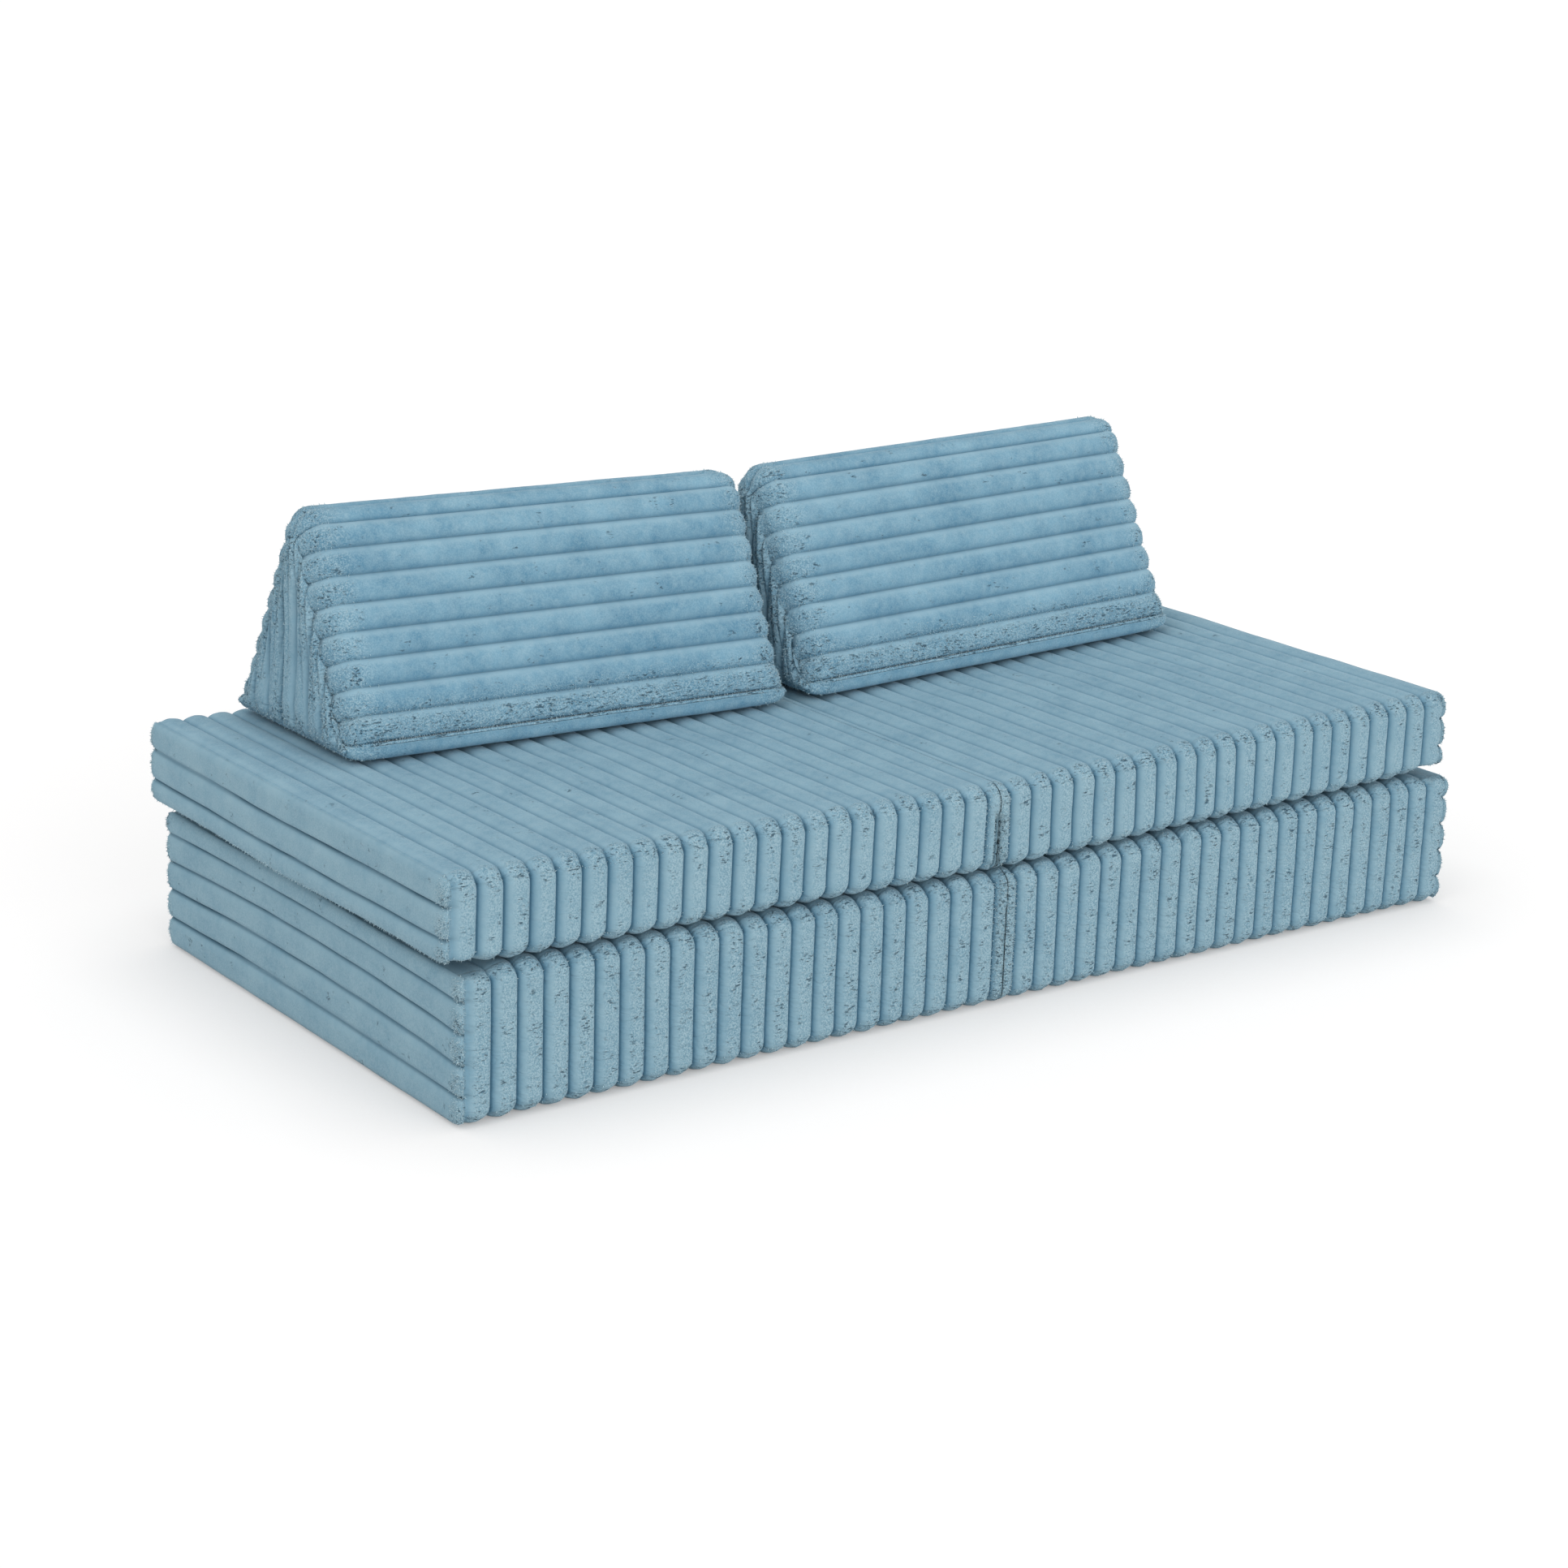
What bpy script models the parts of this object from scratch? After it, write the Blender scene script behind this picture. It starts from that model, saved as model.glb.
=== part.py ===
"""Kids play sofa: two folding mattresses, stacked as base and seat, and two triangular bolsters.

Every cushion is a foam block in its own zipped cover of wide-ribbed plush. X runs along the sofa,
Y from the front to the back, and Z up from the floor. All lengths are in metres.
"""

import math

import bmesh
import bpy
from mathutils import Matrix, Vector

MM = 0.001

# Mattresses: a base and a seat, each of two halves that meet at a fold line
half_length = 840 * MM
mattress_depth = 800 * MM
base_height = 203 * MM
seat_height = 122 * MM
seat_sag = 15 * MM
seat_shift = 20 * MM
edge_chamfer = 15 * MM
seat_crown = 3 * MM
side_draw = 3 * MM
base_end_rib_count = 5
seat_end_rib_count = 3

# Bolsters: two triangular prisms, end to end on the seat
bolster_length = 718 * MM
bolster_depth = 330 * MM
bolster_height = 310 * MM
bolster_gap = 20 * MM
bolster_front = 46 * MM
bolster_apex_radius = 46 * MM
bolster_foot_radius = 22 * MM
bolster_crown = 3 * MM
bolster_end_round = 14 * MM
bolster_end_wall = 34 * MM
bolster_yaw_right = math.radians(2)

# Plush covers: soft round ribs on a woven backing
rib_pitch = 37 * MM
groove_depth = 9 * MM
backing = 3 * MM
panel_inset = 6 * MM

# Zips: a woven tape, a coil along its middle, and a child-safe slider without a pull
zip_margin = 70 * MM
zip_slot_height = 26 * MM
zip_tape_thickness = 1.5 * MM
zip_coil_width = 5 * MM
zip_coil_height = 2.4 * MM
zip_end_stop = 6 * MM
slider_length = 15 * MM
slider_width = 11 * MM
slider_nose_width = 7 * MM
slider_wall = 1.2 * MM
bail_length = 8 * MM
bail_width = 3 * MM
bail_height = 3.5 * MM
bolster_zip_height = 50 * MM

# Hinge tapes: a fabric strip bent round each fold line
hinge_tape_thickness = 1.4 * MM

# Clearances, and the overrun of every cut
fold_gap = 1 * MM
fold_clearance = 0.5 * MM
lay_gap = 0.6 * MM
touch_gap = 0.3 * MM
slider_gap = 0.4 * MM
overrun = 10 * MM

# One rib from groove to groove: place across it, and its drop from the crest, both as shares
rib_profile_shares = ((0.0, 1.0), (0.27, 0.0), (0.73, 0.0))
corner_steps = 2
section_steps = 12
smooth_angle = math.radians(50)

half_depth = mattress_depth / 2
cover_wall = groove_depth + backing
back_wall = side_draw + cover_wall
sag_angle = math.atan(seat_sag / half_length)
base_fold_height = base_height - seat_sag
seat_lean = seat_height * math.sin(sag_angle) - half_length * (1 - math.cos(sag_angle))
base_place = (seat_shift + seat_lean) / 2
seat_fold_level = base_fold_height + lay_gap + seat_height / math.cos(sag_angle)


def make_material(name, colour, roughness, metallic=0.0):
    """A plain material in the piece's own colour."""
    material = bpy.data.materials.new(name)
    material.use_nodes = True
    shader = material.node_tree.nodes["Principled BSDF"]
    shader.inputs["Base Color"].default_value = (*colour, 1.0)
    shader.inputs["Roughness"].default_value = roughness
    shader.inputs["Metallic"].default_value = metallic
    return material


def make_frame(name, parent=None, location=(0, 0, 0), turn=(0, 0, 0)):
    """An empty that carries the pieces of one body, or of one zip."""
    frame = bpy.data.objects.new(name, None)
    bpy.context.scene.collection.objects.link(frame)
    frame.parent = parent
    frame.location = location
    frame.rotation_euler = turn
    return frame


def mesh_object(name, points, faces):
    """An object from points and faces, with every face turned outwards."""
    mesh = bpy.data.meshes.new(name)
    mesh.from_pydata(points, [], faces)
    shape = bmesh.new()
    shape.from_mesh(mesh)
    bmesh.ops.recalc_face_normals(shape, faces=shape.faces)
    shape.to_mesh(mesh)
    shape.free()
    piece = bpy.data.objects.new(name, mesh)
    bpy.context.scene.collection.objects.link(piece)
    return piece


def loft(name, loops):
    """A closed body through loops with equal numbers of points, flat at both ends."""
    count = len(loops[0])
    points = [point for loop in loops for point in loop]
    faces = [tuple(range(count)), tuple(range(len(points) - count, len(points)))]
    for row in range(len(loops) - 1):
        for column in range(count):
            corner = row * count + column
            neighbour = row * count + (column + 1) % count
            faces.append((corner, neighbour, neighbour + count, corner + count))
    return mesh_object(name, points, faces)


def box(name, low, high):
    """A closed box between two corners."""
    ends = []
    for x in (low[0], high[0]):
        ends.append([(x, low[1], low[2]), (x, high[1], low[2]), (x, high[1], high[2]), (x, low[1], high[2])])
    return loft(name, ends)


def combine(body, tool, operation):
    """Unite a body with a tool, cut it by the tool or trim it to the tool, and use the tool up."""
    step = body.modifiers.new("step", "BOOLEAN")
    step.operation = operation
    step.solver = "EXACT"
    step.object = tool
    bpy.context.view_layer.update()
    graph = bpy.context.evaluated_depsgraph_get()
    mesh = bpy.data.meshes.new_from_object(body.evaluated_get(graph))
    body.modifiers.clear()
    body.data = mesh
    bpy.data.objects.remove(tool, do_unlink=True)


def finish_piece(piece, frame, material):
    """Hang a finished piece on its frame and give it its material."""
    piece.data.materials.clear()
    piece.data.materials.append(material)
    piece.data.shade_smooth()
    piece.data.set_sharp_from_angle(angle=smooth_angle)
    piece.parent = frame


def hump(share):
    """One in the middle of a length and nothing at its ends."""
    return 1 - (2 * share - 1) ** 2


def rib_row(start, widths):
    """Places along a row of ribs with the drop from their crests, from groove to groove."""
    row = []
    place = start
    for width in widths:
        for across, drop in rib_profile_shares:
            row.append((place + across * width, drop * groove_depth))
        place += width
    row.append((place, groove_depth))
    return row


def wrap_rib_widths():
    """Widths of the ribs round a mattress half: a half rib at the fold, then whole ones."""
    wrap_length = half_length - groove_depth - fold_gap / 2
    whole_count = round(wrap_length / rib_pitch - 0.5)
    width = wrap_length / (whole_count + 0.5)
    return [width / 2] + [width] * whole_count


def chamfered_loop(x, half_width, low, high, chamfer):
    """An upright eight-sided loop: a rectangle with its corners cut."""
    return [
        (x, -half_width, low + chamfer),
        (x, -half_width + chamfer, low),
        (x, half_width - chamfer, low),
        (x, half_width, low + chamfer),
        (x, half_width, high - chamfer),
        (x, half_width - chamfer, high),
        (x, -half_width + chamfer, high),
        (x, -half_width, high - chamfer),
    ]


def mattress_core(name, side, bottom, fold_top, outer_top, margin):
    """The tapered block inside a mattress cover, a margin smaller than the hollow that holds it."""
    half_width = half_depth - back_wall - margin
    low = bottom + cover_wall + margin
    loops = []
    for distance in (fold_gap / 2 + cover_wall + margin, half_length - cover_wall - margin):
        top = fold_top + (outer_top - fold_top) * distance / half_length
        high = top - cover_wall - margin
        loops.append(chamfered_loop(side * distance, half_width, low, high, edge_chamfer))
    return loft(name, loops)


def mattress_end_panel(side, bottom, top, rib_count):
    """The panel that closes a mattress end, with ribs that run from the front to the back."""
    low = bottom + panel_inset
    high = top - panel_inset
    inner = side * (half_length - groove_depth - cover_wall)
    outline = [(inner, low)]
    for level, drop in rib_row(low, [(high - low) / rib_count] * rib_count):
        outline.append((side * (half_length - drop), level))
    outline.append((inner, high))
    reach = half_depth - panel_inset
    return loft("end_panel", [[(x, y, z) for x, z in outline] for y in (-reach, reach)])


def mattress_cover(name, side, bottom, fold_top, outer_top, crown, end_rib_count):
    """The cover of a mattress half: ribs all round it and a panel at its outer end."""
    loops = []
    for distance, drop in rib_row(fold_gap / 2, wrap_rib_widths()):
        share = distance / half_length
        half_width = half_depth - side_draw * hump(share) - drop
        top = fold_top + (outer_top - fold_top) * share + crown * hump(share)
        loops.append(chamfered_loop(side * distance, half_width, bottom + drop, top - drop, edge_chamfer))
    cover = loft(name, loops)
    combine(cover, mattress_end_panel(side, bottom, outer_top, end_rib_count), "UNION")
    combine(cover, mattress_core("hollow", side, bottom, fold_top, outer_top, 0), "DIFFERENCE")
    return cover


def section_arcs():
    """The round corners of a bolster's section, as centre, radius and the angles of their ends."""
    foot = Vector((bolster_depth / 2 - bolster_foot_radius, bolster_foot_radius))
    apex = Vector((0, bolster_height - bolster_apex_radius))
    rise = apex - foot
    spread = math.acos((bolster_foot_radius - bolster_apex_radius) / rise.length)
    slope = math.atan2(rise.y, rise.x) - spread
    return (
        (foot, bolster_foot_radius, -math.pi / 2, slope),
        (apex, bolster_apex_radius, slope, math.pi - slope),
        (Vector((-foot.x, foot.y)), bolster_foot_radius, math.pi - slope, math.pi * 1.5),
    )


def section_samples(steps):
    """Points and outward directions along the corners of a bolster's section."""
    samples = []
    for centre, radius, start, end in section_arcs():
        for step in range(steps + 1):
            angle = start + (end - start) * step / steps
            outward = Vector((math.cos(angle), math.sin(angle)))
            samples.append((centre + radius * outward, outward))
    return samples


def ribbed_section():
    """Points, outward directions and drops of the ribs round a bolster's section."""
    samples = section_samples(section_steps)
    samples.append(samples[0])
    lengths = [(after[0] - before[0]).length for before, after in zip(samples, samples[1:])]
    perimeter = sum(lengths)
    rib_count = round(perimeter / rib_pitch)
    ribs = []
    piece = 0
    passed = 0
    for place, drop in rib_row(0, [perimeter / rib_count] * rib_count)[:-1]:
        while place > passed + lengths[piece]:
            passed += lengths[piece]
            piece += 1
        share = (place - passed) / lengths[piece]
        point = samples[piece][0].lerp(samples[piece + 1][0], share)
        outward = samples[piece][1].lerp(samples[piece + 1][1], share).normalized()
        ribs.append((point, outward, drop))
    return ribs


def bolster_core(name, side, margin, near, far):
    """A plain rounded triangular prism, set in by a margin, between two places along the bolster."""
    outline = [point - outward * margin for point, outward in section_samples(corner_steps)]
    return loft(name, [[(side * x, point.x, point.y) for point in outline] for x in (near, far)])


def bolster_end_panel(side, outer, inner):
    """A triangular end panel whose ribs stand upright."""
    facing = math.copysign(1, inner - outer)
    half_width = bolster_depth / 2
    rib_count = round(bolster_depth / rib_pitch)
    outline = [(inner, -half_width)]
    for place, drop in rib_row(-half_width, [bolster_depth / rib_count] * rib_count):
        outline.append((outer + facing * drop, place))
    outline.append((inner, half_width))
    levels = (-overrun, bolster_height + overrun)
    panel = loft("end_panel", [[(side * x, y, z) for x, y in outline] for z in levels])
    trim = bolster_core("trim", side, panel_inset, outer - facing * overrun, inner + facing * overrun)
    combine(panel, trim, "INTERSECT")
    return panel


def bolster_cover(name, side):
    """The cover of a bolster: ribs run along it, and each end is closed by an upright-ribbed panel."""
    ribs = ribbed_section()
    cap = groove_depth
    rows = (
        (cap, bolster_end_round),
        (cap + bolster_end_round, 0),
        (bolster_length / 2, 0),
        (bolster_length - cap - bolster_end_round, 0),
        (bolster_length - cap, bolster_end_round),
    )
    loops = []
    for x, rounding in rows:
        swell = bolster_crown * hump(x / bolster_length)
        loop = []
        for point, outward, drop in ribs:
            lifted = swell * (1 + outward.y) / 2
            place = point + outward * (lifted - drop - rounding)
            loop.append((side * x, place.x, place.y))
        loops.append(loop)
    cover = loft(name, loops)
    inside = cap + cover_wall
    combine(cover, bolster_end_panel(side, 0, inside), "UNION")
    combine(cover, bolster_end_panel(side, bolster_length, bolster_length - inside), "UNION")
    hollow = bolster_core("hollow", side, cover_wall, bolster_end_wall, bolster_length - bolster_end_wall)
    combine(cover, hollow, "DIFFERENCE")
    return cover


def cut_zip_slot(cover, place, zip_length):
    """Open a cover where its zip is sewn in."""
    half = zip_length / 2
    half_height = zip_slot_height / 2
    slot = box("slot", (-half, -overrun, -half_height), (half, back_wall + overrun, half_height))
    slot.data.transform(place)
    combine(cover, slot, "DIFFERENCE")


def make_zip(prefix, frame, place, zip_length, side):
    """The tape, coil and slider of one zip, in the zip's own frame with Y facing out of the cover."""
    zip_frame = make_frame(prefix + "_zip_frame", frame, place.to_translation(), place.to_euler())
    half = zip_length / 2 - touch_gap
    half_height = zip_slot_height / 2 - touch_gap
    tape_low = (backing - zip_tape_thickness) / 2
    tape_high = tape_low + zip_tape_thickness
    tape = box(prefix + "_zip_tape", (-half, tape_low, -half_height), (half, tape_high, half_height))
    finish_piece(tape, zip_frame, materials["tape"])

    coil_low = tape_high + touch_gap
    coil_half = zip_coil_width / 2
    coil_flat_share = 0.5
    outline = [
        (coil_low, -coil_half),
        (coil_low + zip_coil_height * coil_flat_share, -coil_half),
        (coil_low + zip_coil_height, -coil_half * coil_flat_share),
        (coil_low + zip_coil_height, coil_half * coil_flat_share),
        (coil_low + zip_coil_height * coil_flat_share, coil_half),
        (coil_low, coil_half),
    ]
    coil_reach = half - touch_gap
    coil = loft(prefix + "_zip_coil", [[(x, y, z) for y, z in outline] for x in (-coil_reach, coil_reach)])
    finish_piece(coil, zip_frame, materials["coil"])

    slider = make_slider(prefix + "_zip_slider", coil_low, side)
    slider.location.x = side * (coil_reach - zip_end_stop - slider_length / 2)
    finish_piece(slider, zip_frame, materials["slider"])


def make_slider(name, coil_low, side):
    """A slider body that straddles the coil, with a closed bail and a narrower nose."""
    half = slider_length / 2
    plate_low = coil_low + zip_coil_height + slider_gap
    plate_high = plate_low + slider_wall
    plan = (
        (-half, -slider_width / 2),
        (0, -slider_width / 2),
        (half, -slider_nose_width / 2 - slider_wall / 2),
        (half, slider_nose_width / 2 + slider_wall / 2),
        (0, slider_width / 2),
        (-half, slider_width / 2),
    )
    slider = loft(name, [[(-side * x, y, z) for x, z in plan] for y in (coil_low + touch_gap, plate_high)])
    channel = zip_coil_width / 2 + slider_gap
    reach = half + overrun
    tunnel = box("tunnel", (-reach, coil_low - overrun, -channel), (reach, plate_low, channel))
    combine(slider, tunnel, "DIFFERENCE")
    bail_half = bail_length / 2
    bail_top = plate_high + bail_height
    outline = (
        (-bail_half, plate_high - slider_wall / 2),
        (bail_half, plate_high - slider_wall / 2),
        (bail_half - slider_wall, bail_top),
        (-bail_half + slider_wall, bail_top),
    )
    bail = loft("bail", [[(x, y, z) for x, y in outline] for z in (-bail_width / 2, bail_width / 2)])
    eye_low = plate_high + slider_wall / 2
    eye_half = bail_half - 2 * slider_wall
    eye = box("eye", (-eye_half, eye_low, -bail_width), (eye_half, bail_top - slider_wall, bail_width))
    combine(bail, eye, "DIFFERENCE")
    combine(slider, bail, "UNION")
    return slider


def fold_reach():
    """Least distance from a hinge axis, level with the rib crests, to the rib edge at the fold."""
    edge = rib_row(fold_gap / 2, wrap_rib_widths()[:1])
    least = half_length
    for before, after in zip(edge, edge[1:]):
        for step in range(section_steps + 1):
            share = step / section_steps
            across = before[0] + (after[0] - before[0]) * share
            down = before[1] + (after[1] - before[1]) * share
            least = min(least, math.hypot(across, down))
    return least


def make_hinge_tape(name, frame, facing, axis_drop):
    """A fabric strip bent round a hinge axis; it touches both halves and clears them as they fold."""
    outer = fold_reach() - touch_gap
    inner = outer - hinge_tape_thickness
    reach = half_depth - groove_depth - edge_chamfer
    start = math.asin(min(1, (axis_drop + hinge_tape_thickness) / inner))
    arc = [start + (math.pi - 2 * start) * step / section_steps for step in range(section_steps + 1)]
    outline = [(outer * math.cos(angle), outer * math.sin(angle)) for angle in arc]
    outline += [(inner * math.cos(angle), inner * math.sin(angle)) for angle in reversed(arc)]
    loops = [[(x, y, facing * (z - axis_drop)) for x, z in outline] for y in (-reach, reach)]
    finish_piece(loft(name, loops), frame, materials["tape"])


def back_zip_place(side, low, high):
    """Where the zip of a mattress half is sewn in: level, halfway up its back."""
    middle = Vector((side * half_length / 2, half_depth - back_wall, (low + high) / 2))
    return Matrix.Translation(middle)


def bolster_zip_place(side):
    """Where the zip of a bolster is sewn in: low on its back slope."""
    centre, radius, _, slope = section_arcs()[0]
    outward = Vector((math.cos(slope), math.sin(slope)))
    upward = Vector((-math.sin(slope), math.cos(slope)))
    spot = centre + outward * (radius - cover_wall) + upward * bolster_zip_height
    middle = Vector((side * bolster_length / 2, spot.x, spot.y))
    return Matrix.Translation(middle) @ Matrix.Rotation(slope, 4, "X")


def make_mattress_half(prefix, frame, side, bottom, fold_top, outer_top, crown, end_rib_count):
    """One half of a mattress: its cover, foam and zip."""
    zip_length = half_length - 2 * zip_margin
    place = back_zip_place(side, bottom, fold_top)
    name = prefix + "_cover"
    cover = mattress_cover(name, side, bottom, fold_top, outer_top, crown, end_rib_count)
    cut_zip_slot(cover, place, zip_length)
    finish_piece(cover, frame, materials["plush"])
    foam = mattress_core(prefix + "_foam", side, bottom, fold_top, outer_top, touch_gap)
    finish_piece(foam, frame, materials["foam"])
    make_zip(prefix, frame, place, zip_length, side)


def make_bolster(prefix, frame, side):
    """One bolster: its cover, foam and zip."""
    zip_length = bolster_length - 2 * zip_margin
    place = bolster_zip_place(side)
    cover = bolster_cover(prefix + "_cover", side)
    cut_zip_slot(cover, place, zip_length)
    finish_piece(cover, frame, materials["plush"])
    near = bolster_end_wall + touch_gap
    foam = bolster_core(prefix + "_foam", side, cover_wall + touch_gap, near, bolster_length - near)
    finish_piece(foam, frame, materials["foam"])
    make_zip(prefix, frame, place, zip_length, side)


for leftover in list(bpy.data.objects):
    bpy.data.objects.remove(leftover, do_unlink=True)

materials = {
    "plush": make_material("light blue ribbed plush", (0.27, 0.49, 0.62), 0.95),
    "foam": make_material("white polyurethane foam", (0.86, 0.85, 0.80), 0.9),
    "tape": make_material("light blue woven tape", (0.22, 0.42, 0.54), 0.8),
    "coil": make_material("light blue nylon coil", (0.25, 0.45, 0.57), 0.45),
    "slider": make_material("nickel plated zinc", (0.62, 0.62, 0.60), 0.3, 1.0),
}

sides = {"left": -1, "right": 1}

base_frame = make_frame("base_frame", None, (base_place, 0, 0))
for word, side in sides.items():
    make_mattress_half(
        "base_" + word, base_frame, side, 0, base_fold_height, base_height, 0, base_end_rib_count
    )
make_hinge_tape("base_hinge_tape", base_frame, 1, fold_clearance)

for word, side in sides.items():
    seat_spot = (-seat_shift, 0, seat_fold_level)
    seat_frame = make_frame("seat_" + word + "_frame", base_frame, seat_spot, (0, -side * sag_angle, 0))
    make_mattress_half(
        "seat_" + word, seat_frame, side, -seat_height, 0, 0, seat_crown, seat_end_rib_count
    )
    if side < 0:
        make_hinge_tape("seat_hinge_tape", seat_frame, -1, 0)
    bolster_spot = (side * bolster_gap / 2, bolster_front + bolster_depth / 2, seat_crown + lay_gap)
    yaw = bolster_yaw_right if side > 0 else 0
    bolster_frame = make_frame("bolster_" + word + "_frame", seat_frame, bolster_spot, (0, 0, yaw))
    make_bolster("bolster_" + word, bolster_frame, side)
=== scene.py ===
"""Looks of the kids play sofa: six foam pieces in jumbo-rib plush covers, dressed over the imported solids."""

import math
from types import SimpleNamespace

import bpy
import numpy as np
from mathutils import Matrix, Vector


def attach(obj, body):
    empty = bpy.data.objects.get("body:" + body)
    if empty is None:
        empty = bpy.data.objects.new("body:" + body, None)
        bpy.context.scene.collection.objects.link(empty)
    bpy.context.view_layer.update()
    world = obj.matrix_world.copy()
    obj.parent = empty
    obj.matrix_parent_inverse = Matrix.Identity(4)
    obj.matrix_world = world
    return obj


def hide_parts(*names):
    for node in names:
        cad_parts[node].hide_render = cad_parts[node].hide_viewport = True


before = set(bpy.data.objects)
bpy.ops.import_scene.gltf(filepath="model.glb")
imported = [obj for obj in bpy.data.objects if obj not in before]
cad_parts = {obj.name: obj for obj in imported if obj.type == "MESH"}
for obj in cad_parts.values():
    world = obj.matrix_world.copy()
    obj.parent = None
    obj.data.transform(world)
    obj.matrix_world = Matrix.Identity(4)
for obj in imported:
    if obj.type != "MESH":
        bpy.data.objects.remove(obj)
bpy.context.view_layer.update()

MM = 0.001

# The photograph's camera, solved from counted ribs and corners
photo_pixels = 1932
photo_focal_pixels = 4157.4
photo_azimuth = math.radians(-36.404)
photo_elevation = math.radians(16.707)
photo_roll = math.radians(1.833)
photo_distance = 4.7174
photo_target = Vector((-0.0695, 0, 0.2174))

# Mattresses, as in the solids: each half runs from the fold line to its outer end
half_length = 840 * MM
mattress_depth = 800 * MM
base_height = 203 * MM
seat_height = 122 * MM
seat_sag = 15 * MM
seat_shift = 20 * MM
fold_gap = 1 * MM
lay_gap = 0.6 * MM
seat_crown = 3 * MM
base_end_ribs = 5
seat_end_ribs = 3
mattress_corner_radius = 24 * MM

# Bolsters, as in the solids
bolster_length = 718 * MM
bolster_depth = 330 * MM
bolster_height = 310 * MM
bolster_gap = 20 * MM
bolster_front = 46 * MM
bolster_apex_radius = 46 * MM
bolster_foot_radius = 22 * MM
bolster_yaw_right = math.radians(2)
bolster_seam_angle = math.radians(163)

# Ribs of the plush; a fullness of 2 is a round roll, and a higher one a flatter roll with a narrower groove
rib_pitch = 37 * MM
groove_depth = 9 * MM
plush_depth = 10.5 * MM
panel_edge_round = 14 * MM
roll_power = 0.55
front_fullness = 3.0
top_fullness = 2.0
panel_fullness = 4.6
bolster_fullness = 1.7
bolster_panel_fullness = 2.2

# Zips
zip_margin = 70 * MM
zip_slot_height = 26 * MM
zip_lip = 3 * MM
mattress_zip_depth = 15 * MM
bolster_zip_depth = 12 * MM
bolster_zip_height = 50 * MM
zip_floor_rise = 0.2 * MM
coil_lift = 2.55 * MM
coil_width = 5 * MM
coil_height = 2.4 * MM
coil_wire_radius = 0.95 * MM
coil_tooth_pitch = 3 * MM
coil_tooth_slant = math.radians(14)
coil_end_room = 1 * MM

# Swelling of the stuffed covers
swell_cap = 8 * MM
swell_start = 3 * MM
swell_least = -0.6 * MM
panel_calm = (0, 60 * MM)
cloth_pressure = 4
cloth_frames = 20
cloth_quality = 5
cloth_mass = 0.4
cloth_stiffness = 25
cloth_bending_stiffness = 2

# Points of the covers' grids
steps_per_rib = 14
steps_per_end_rib = 13

half_depth = mattress_depth / 2
sag_angle = math.atan(seat_sag / half_length)
base_fold_height = base_height - seat_sag
seat_lean = seat_height * math.sin(sag_angle) - half_length * (1 - math.cos(sag_angle))
base_place = (seat_shift + seat_lean) / 2
seat_fold_level = base_fold_height + lay_gap + seat_height / math.cos(sag_angle)
sides = {"left": -1, "right": 1}


def linear(hex_colour):
    """A linear colour from an sRGB hex value."""
    channels = []
    for start in (1, 3, 5):
        value = int(hex_colour[start : start + 2], 16) / 255
        channels.append(value / 12.92 if value <= 0.04045 else ((value + 0.055) / 1.055) ** 2.4)
    return (*channels, 1)


def add(tree, kind, sockets=None, **settings):
    """A node with its settings; each socket takes a value, a socket or the output that a node has in use."""
    node = tree.nodes.new(kind)
    for name, value in settings.items():
        setattr(node, name, value)
    for key, value in (sockets or {}).items():
        if isinstance(value, bpy.types.Node):
            value = next(output for output in value.outputs if output.enabled)
        if isinstance(value, bpy.types.NodeSocket):
            tree.links.new(value, node.inputs[key])
        else:
            node.inputs[key].default_value = value
    return node


# Outlines


def graded(length, near, far, reach):
    """Shares along a length, close together near both ends and wider apart in the middle."""
    fine = np.linspace(0, length, 2000)
    from_end = np.minimum(fine, length - fine)
    step = near + (far - near) * np.clip(from_end / reach, 0, 1)
    count = np.concatenate([[0], np.cumsum((fine[1] - fine[0]) / step[1:])])
    places = np.linspace(0, count[-1], round(count[-1]) + 1)
    return np.interp(places, count, fine) / length


def trace(arcs, shares):
    """Points, outward directions and bends along a side: arcs joined by straight lines."""
    runs = []
    for index, (y, z, radius, start, end) in enumerate(arcs):
        if index:
            before = arcs[index - 1]
            first = np.array(before[:2]) + before[2] * np.array((math.cos(before[4]), math.sin(before[4])))
            last = np.array((y, z)) + radius * np.array((math.cos(start), math.sin(start)))
            runs.append((np.linalg.norm(last - first), first, last, start))
        runs.append((radius * (end - start), (y, z, radius, start, end), None, None))
    total = sum(run[0] for run in runs)
    points = np.zeros((len(shares), 2))
    outward = np.zeros((len(shares), 2))
    bend = np.zeros(len(shares))
    passed = 0
    for length, first, last, angle in runs:
        here = (shares * total >= passed - 1e-9) & (shares * total <= passed + length + 1e-9)
        along = np.clip((shares[here] * total - passed) / max(length, 1e-9), 0, 1)
        if last is None:
            y, z, radius, start, end = first
            angles = start + (end - start) * along
            outward[here] = np.stack([np.cos(angles), np.sin(angles)], 1)
            points[here] = np.array((y, z)) + radius * outward[here]
            bend[here] = np.abs(np.sin(2 * angles))
        else:
            outward[here] = (math.cos(angle), math.sin(angle))
            points[here] = first + (last - first) * along[:, None]
        passed += length
    return points, outward, bend


def trace_loop(loop_sides, side_shares):
    """Points, outward directions and bends all round a section, each side without its last point."""
    parts = [trace(side, shares[:-1]) for side, shares in zip(loop_sides, side_shares)]
    return tuple(np.concatenate([part[field] for part in parts]) for field in range(3))


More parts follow.
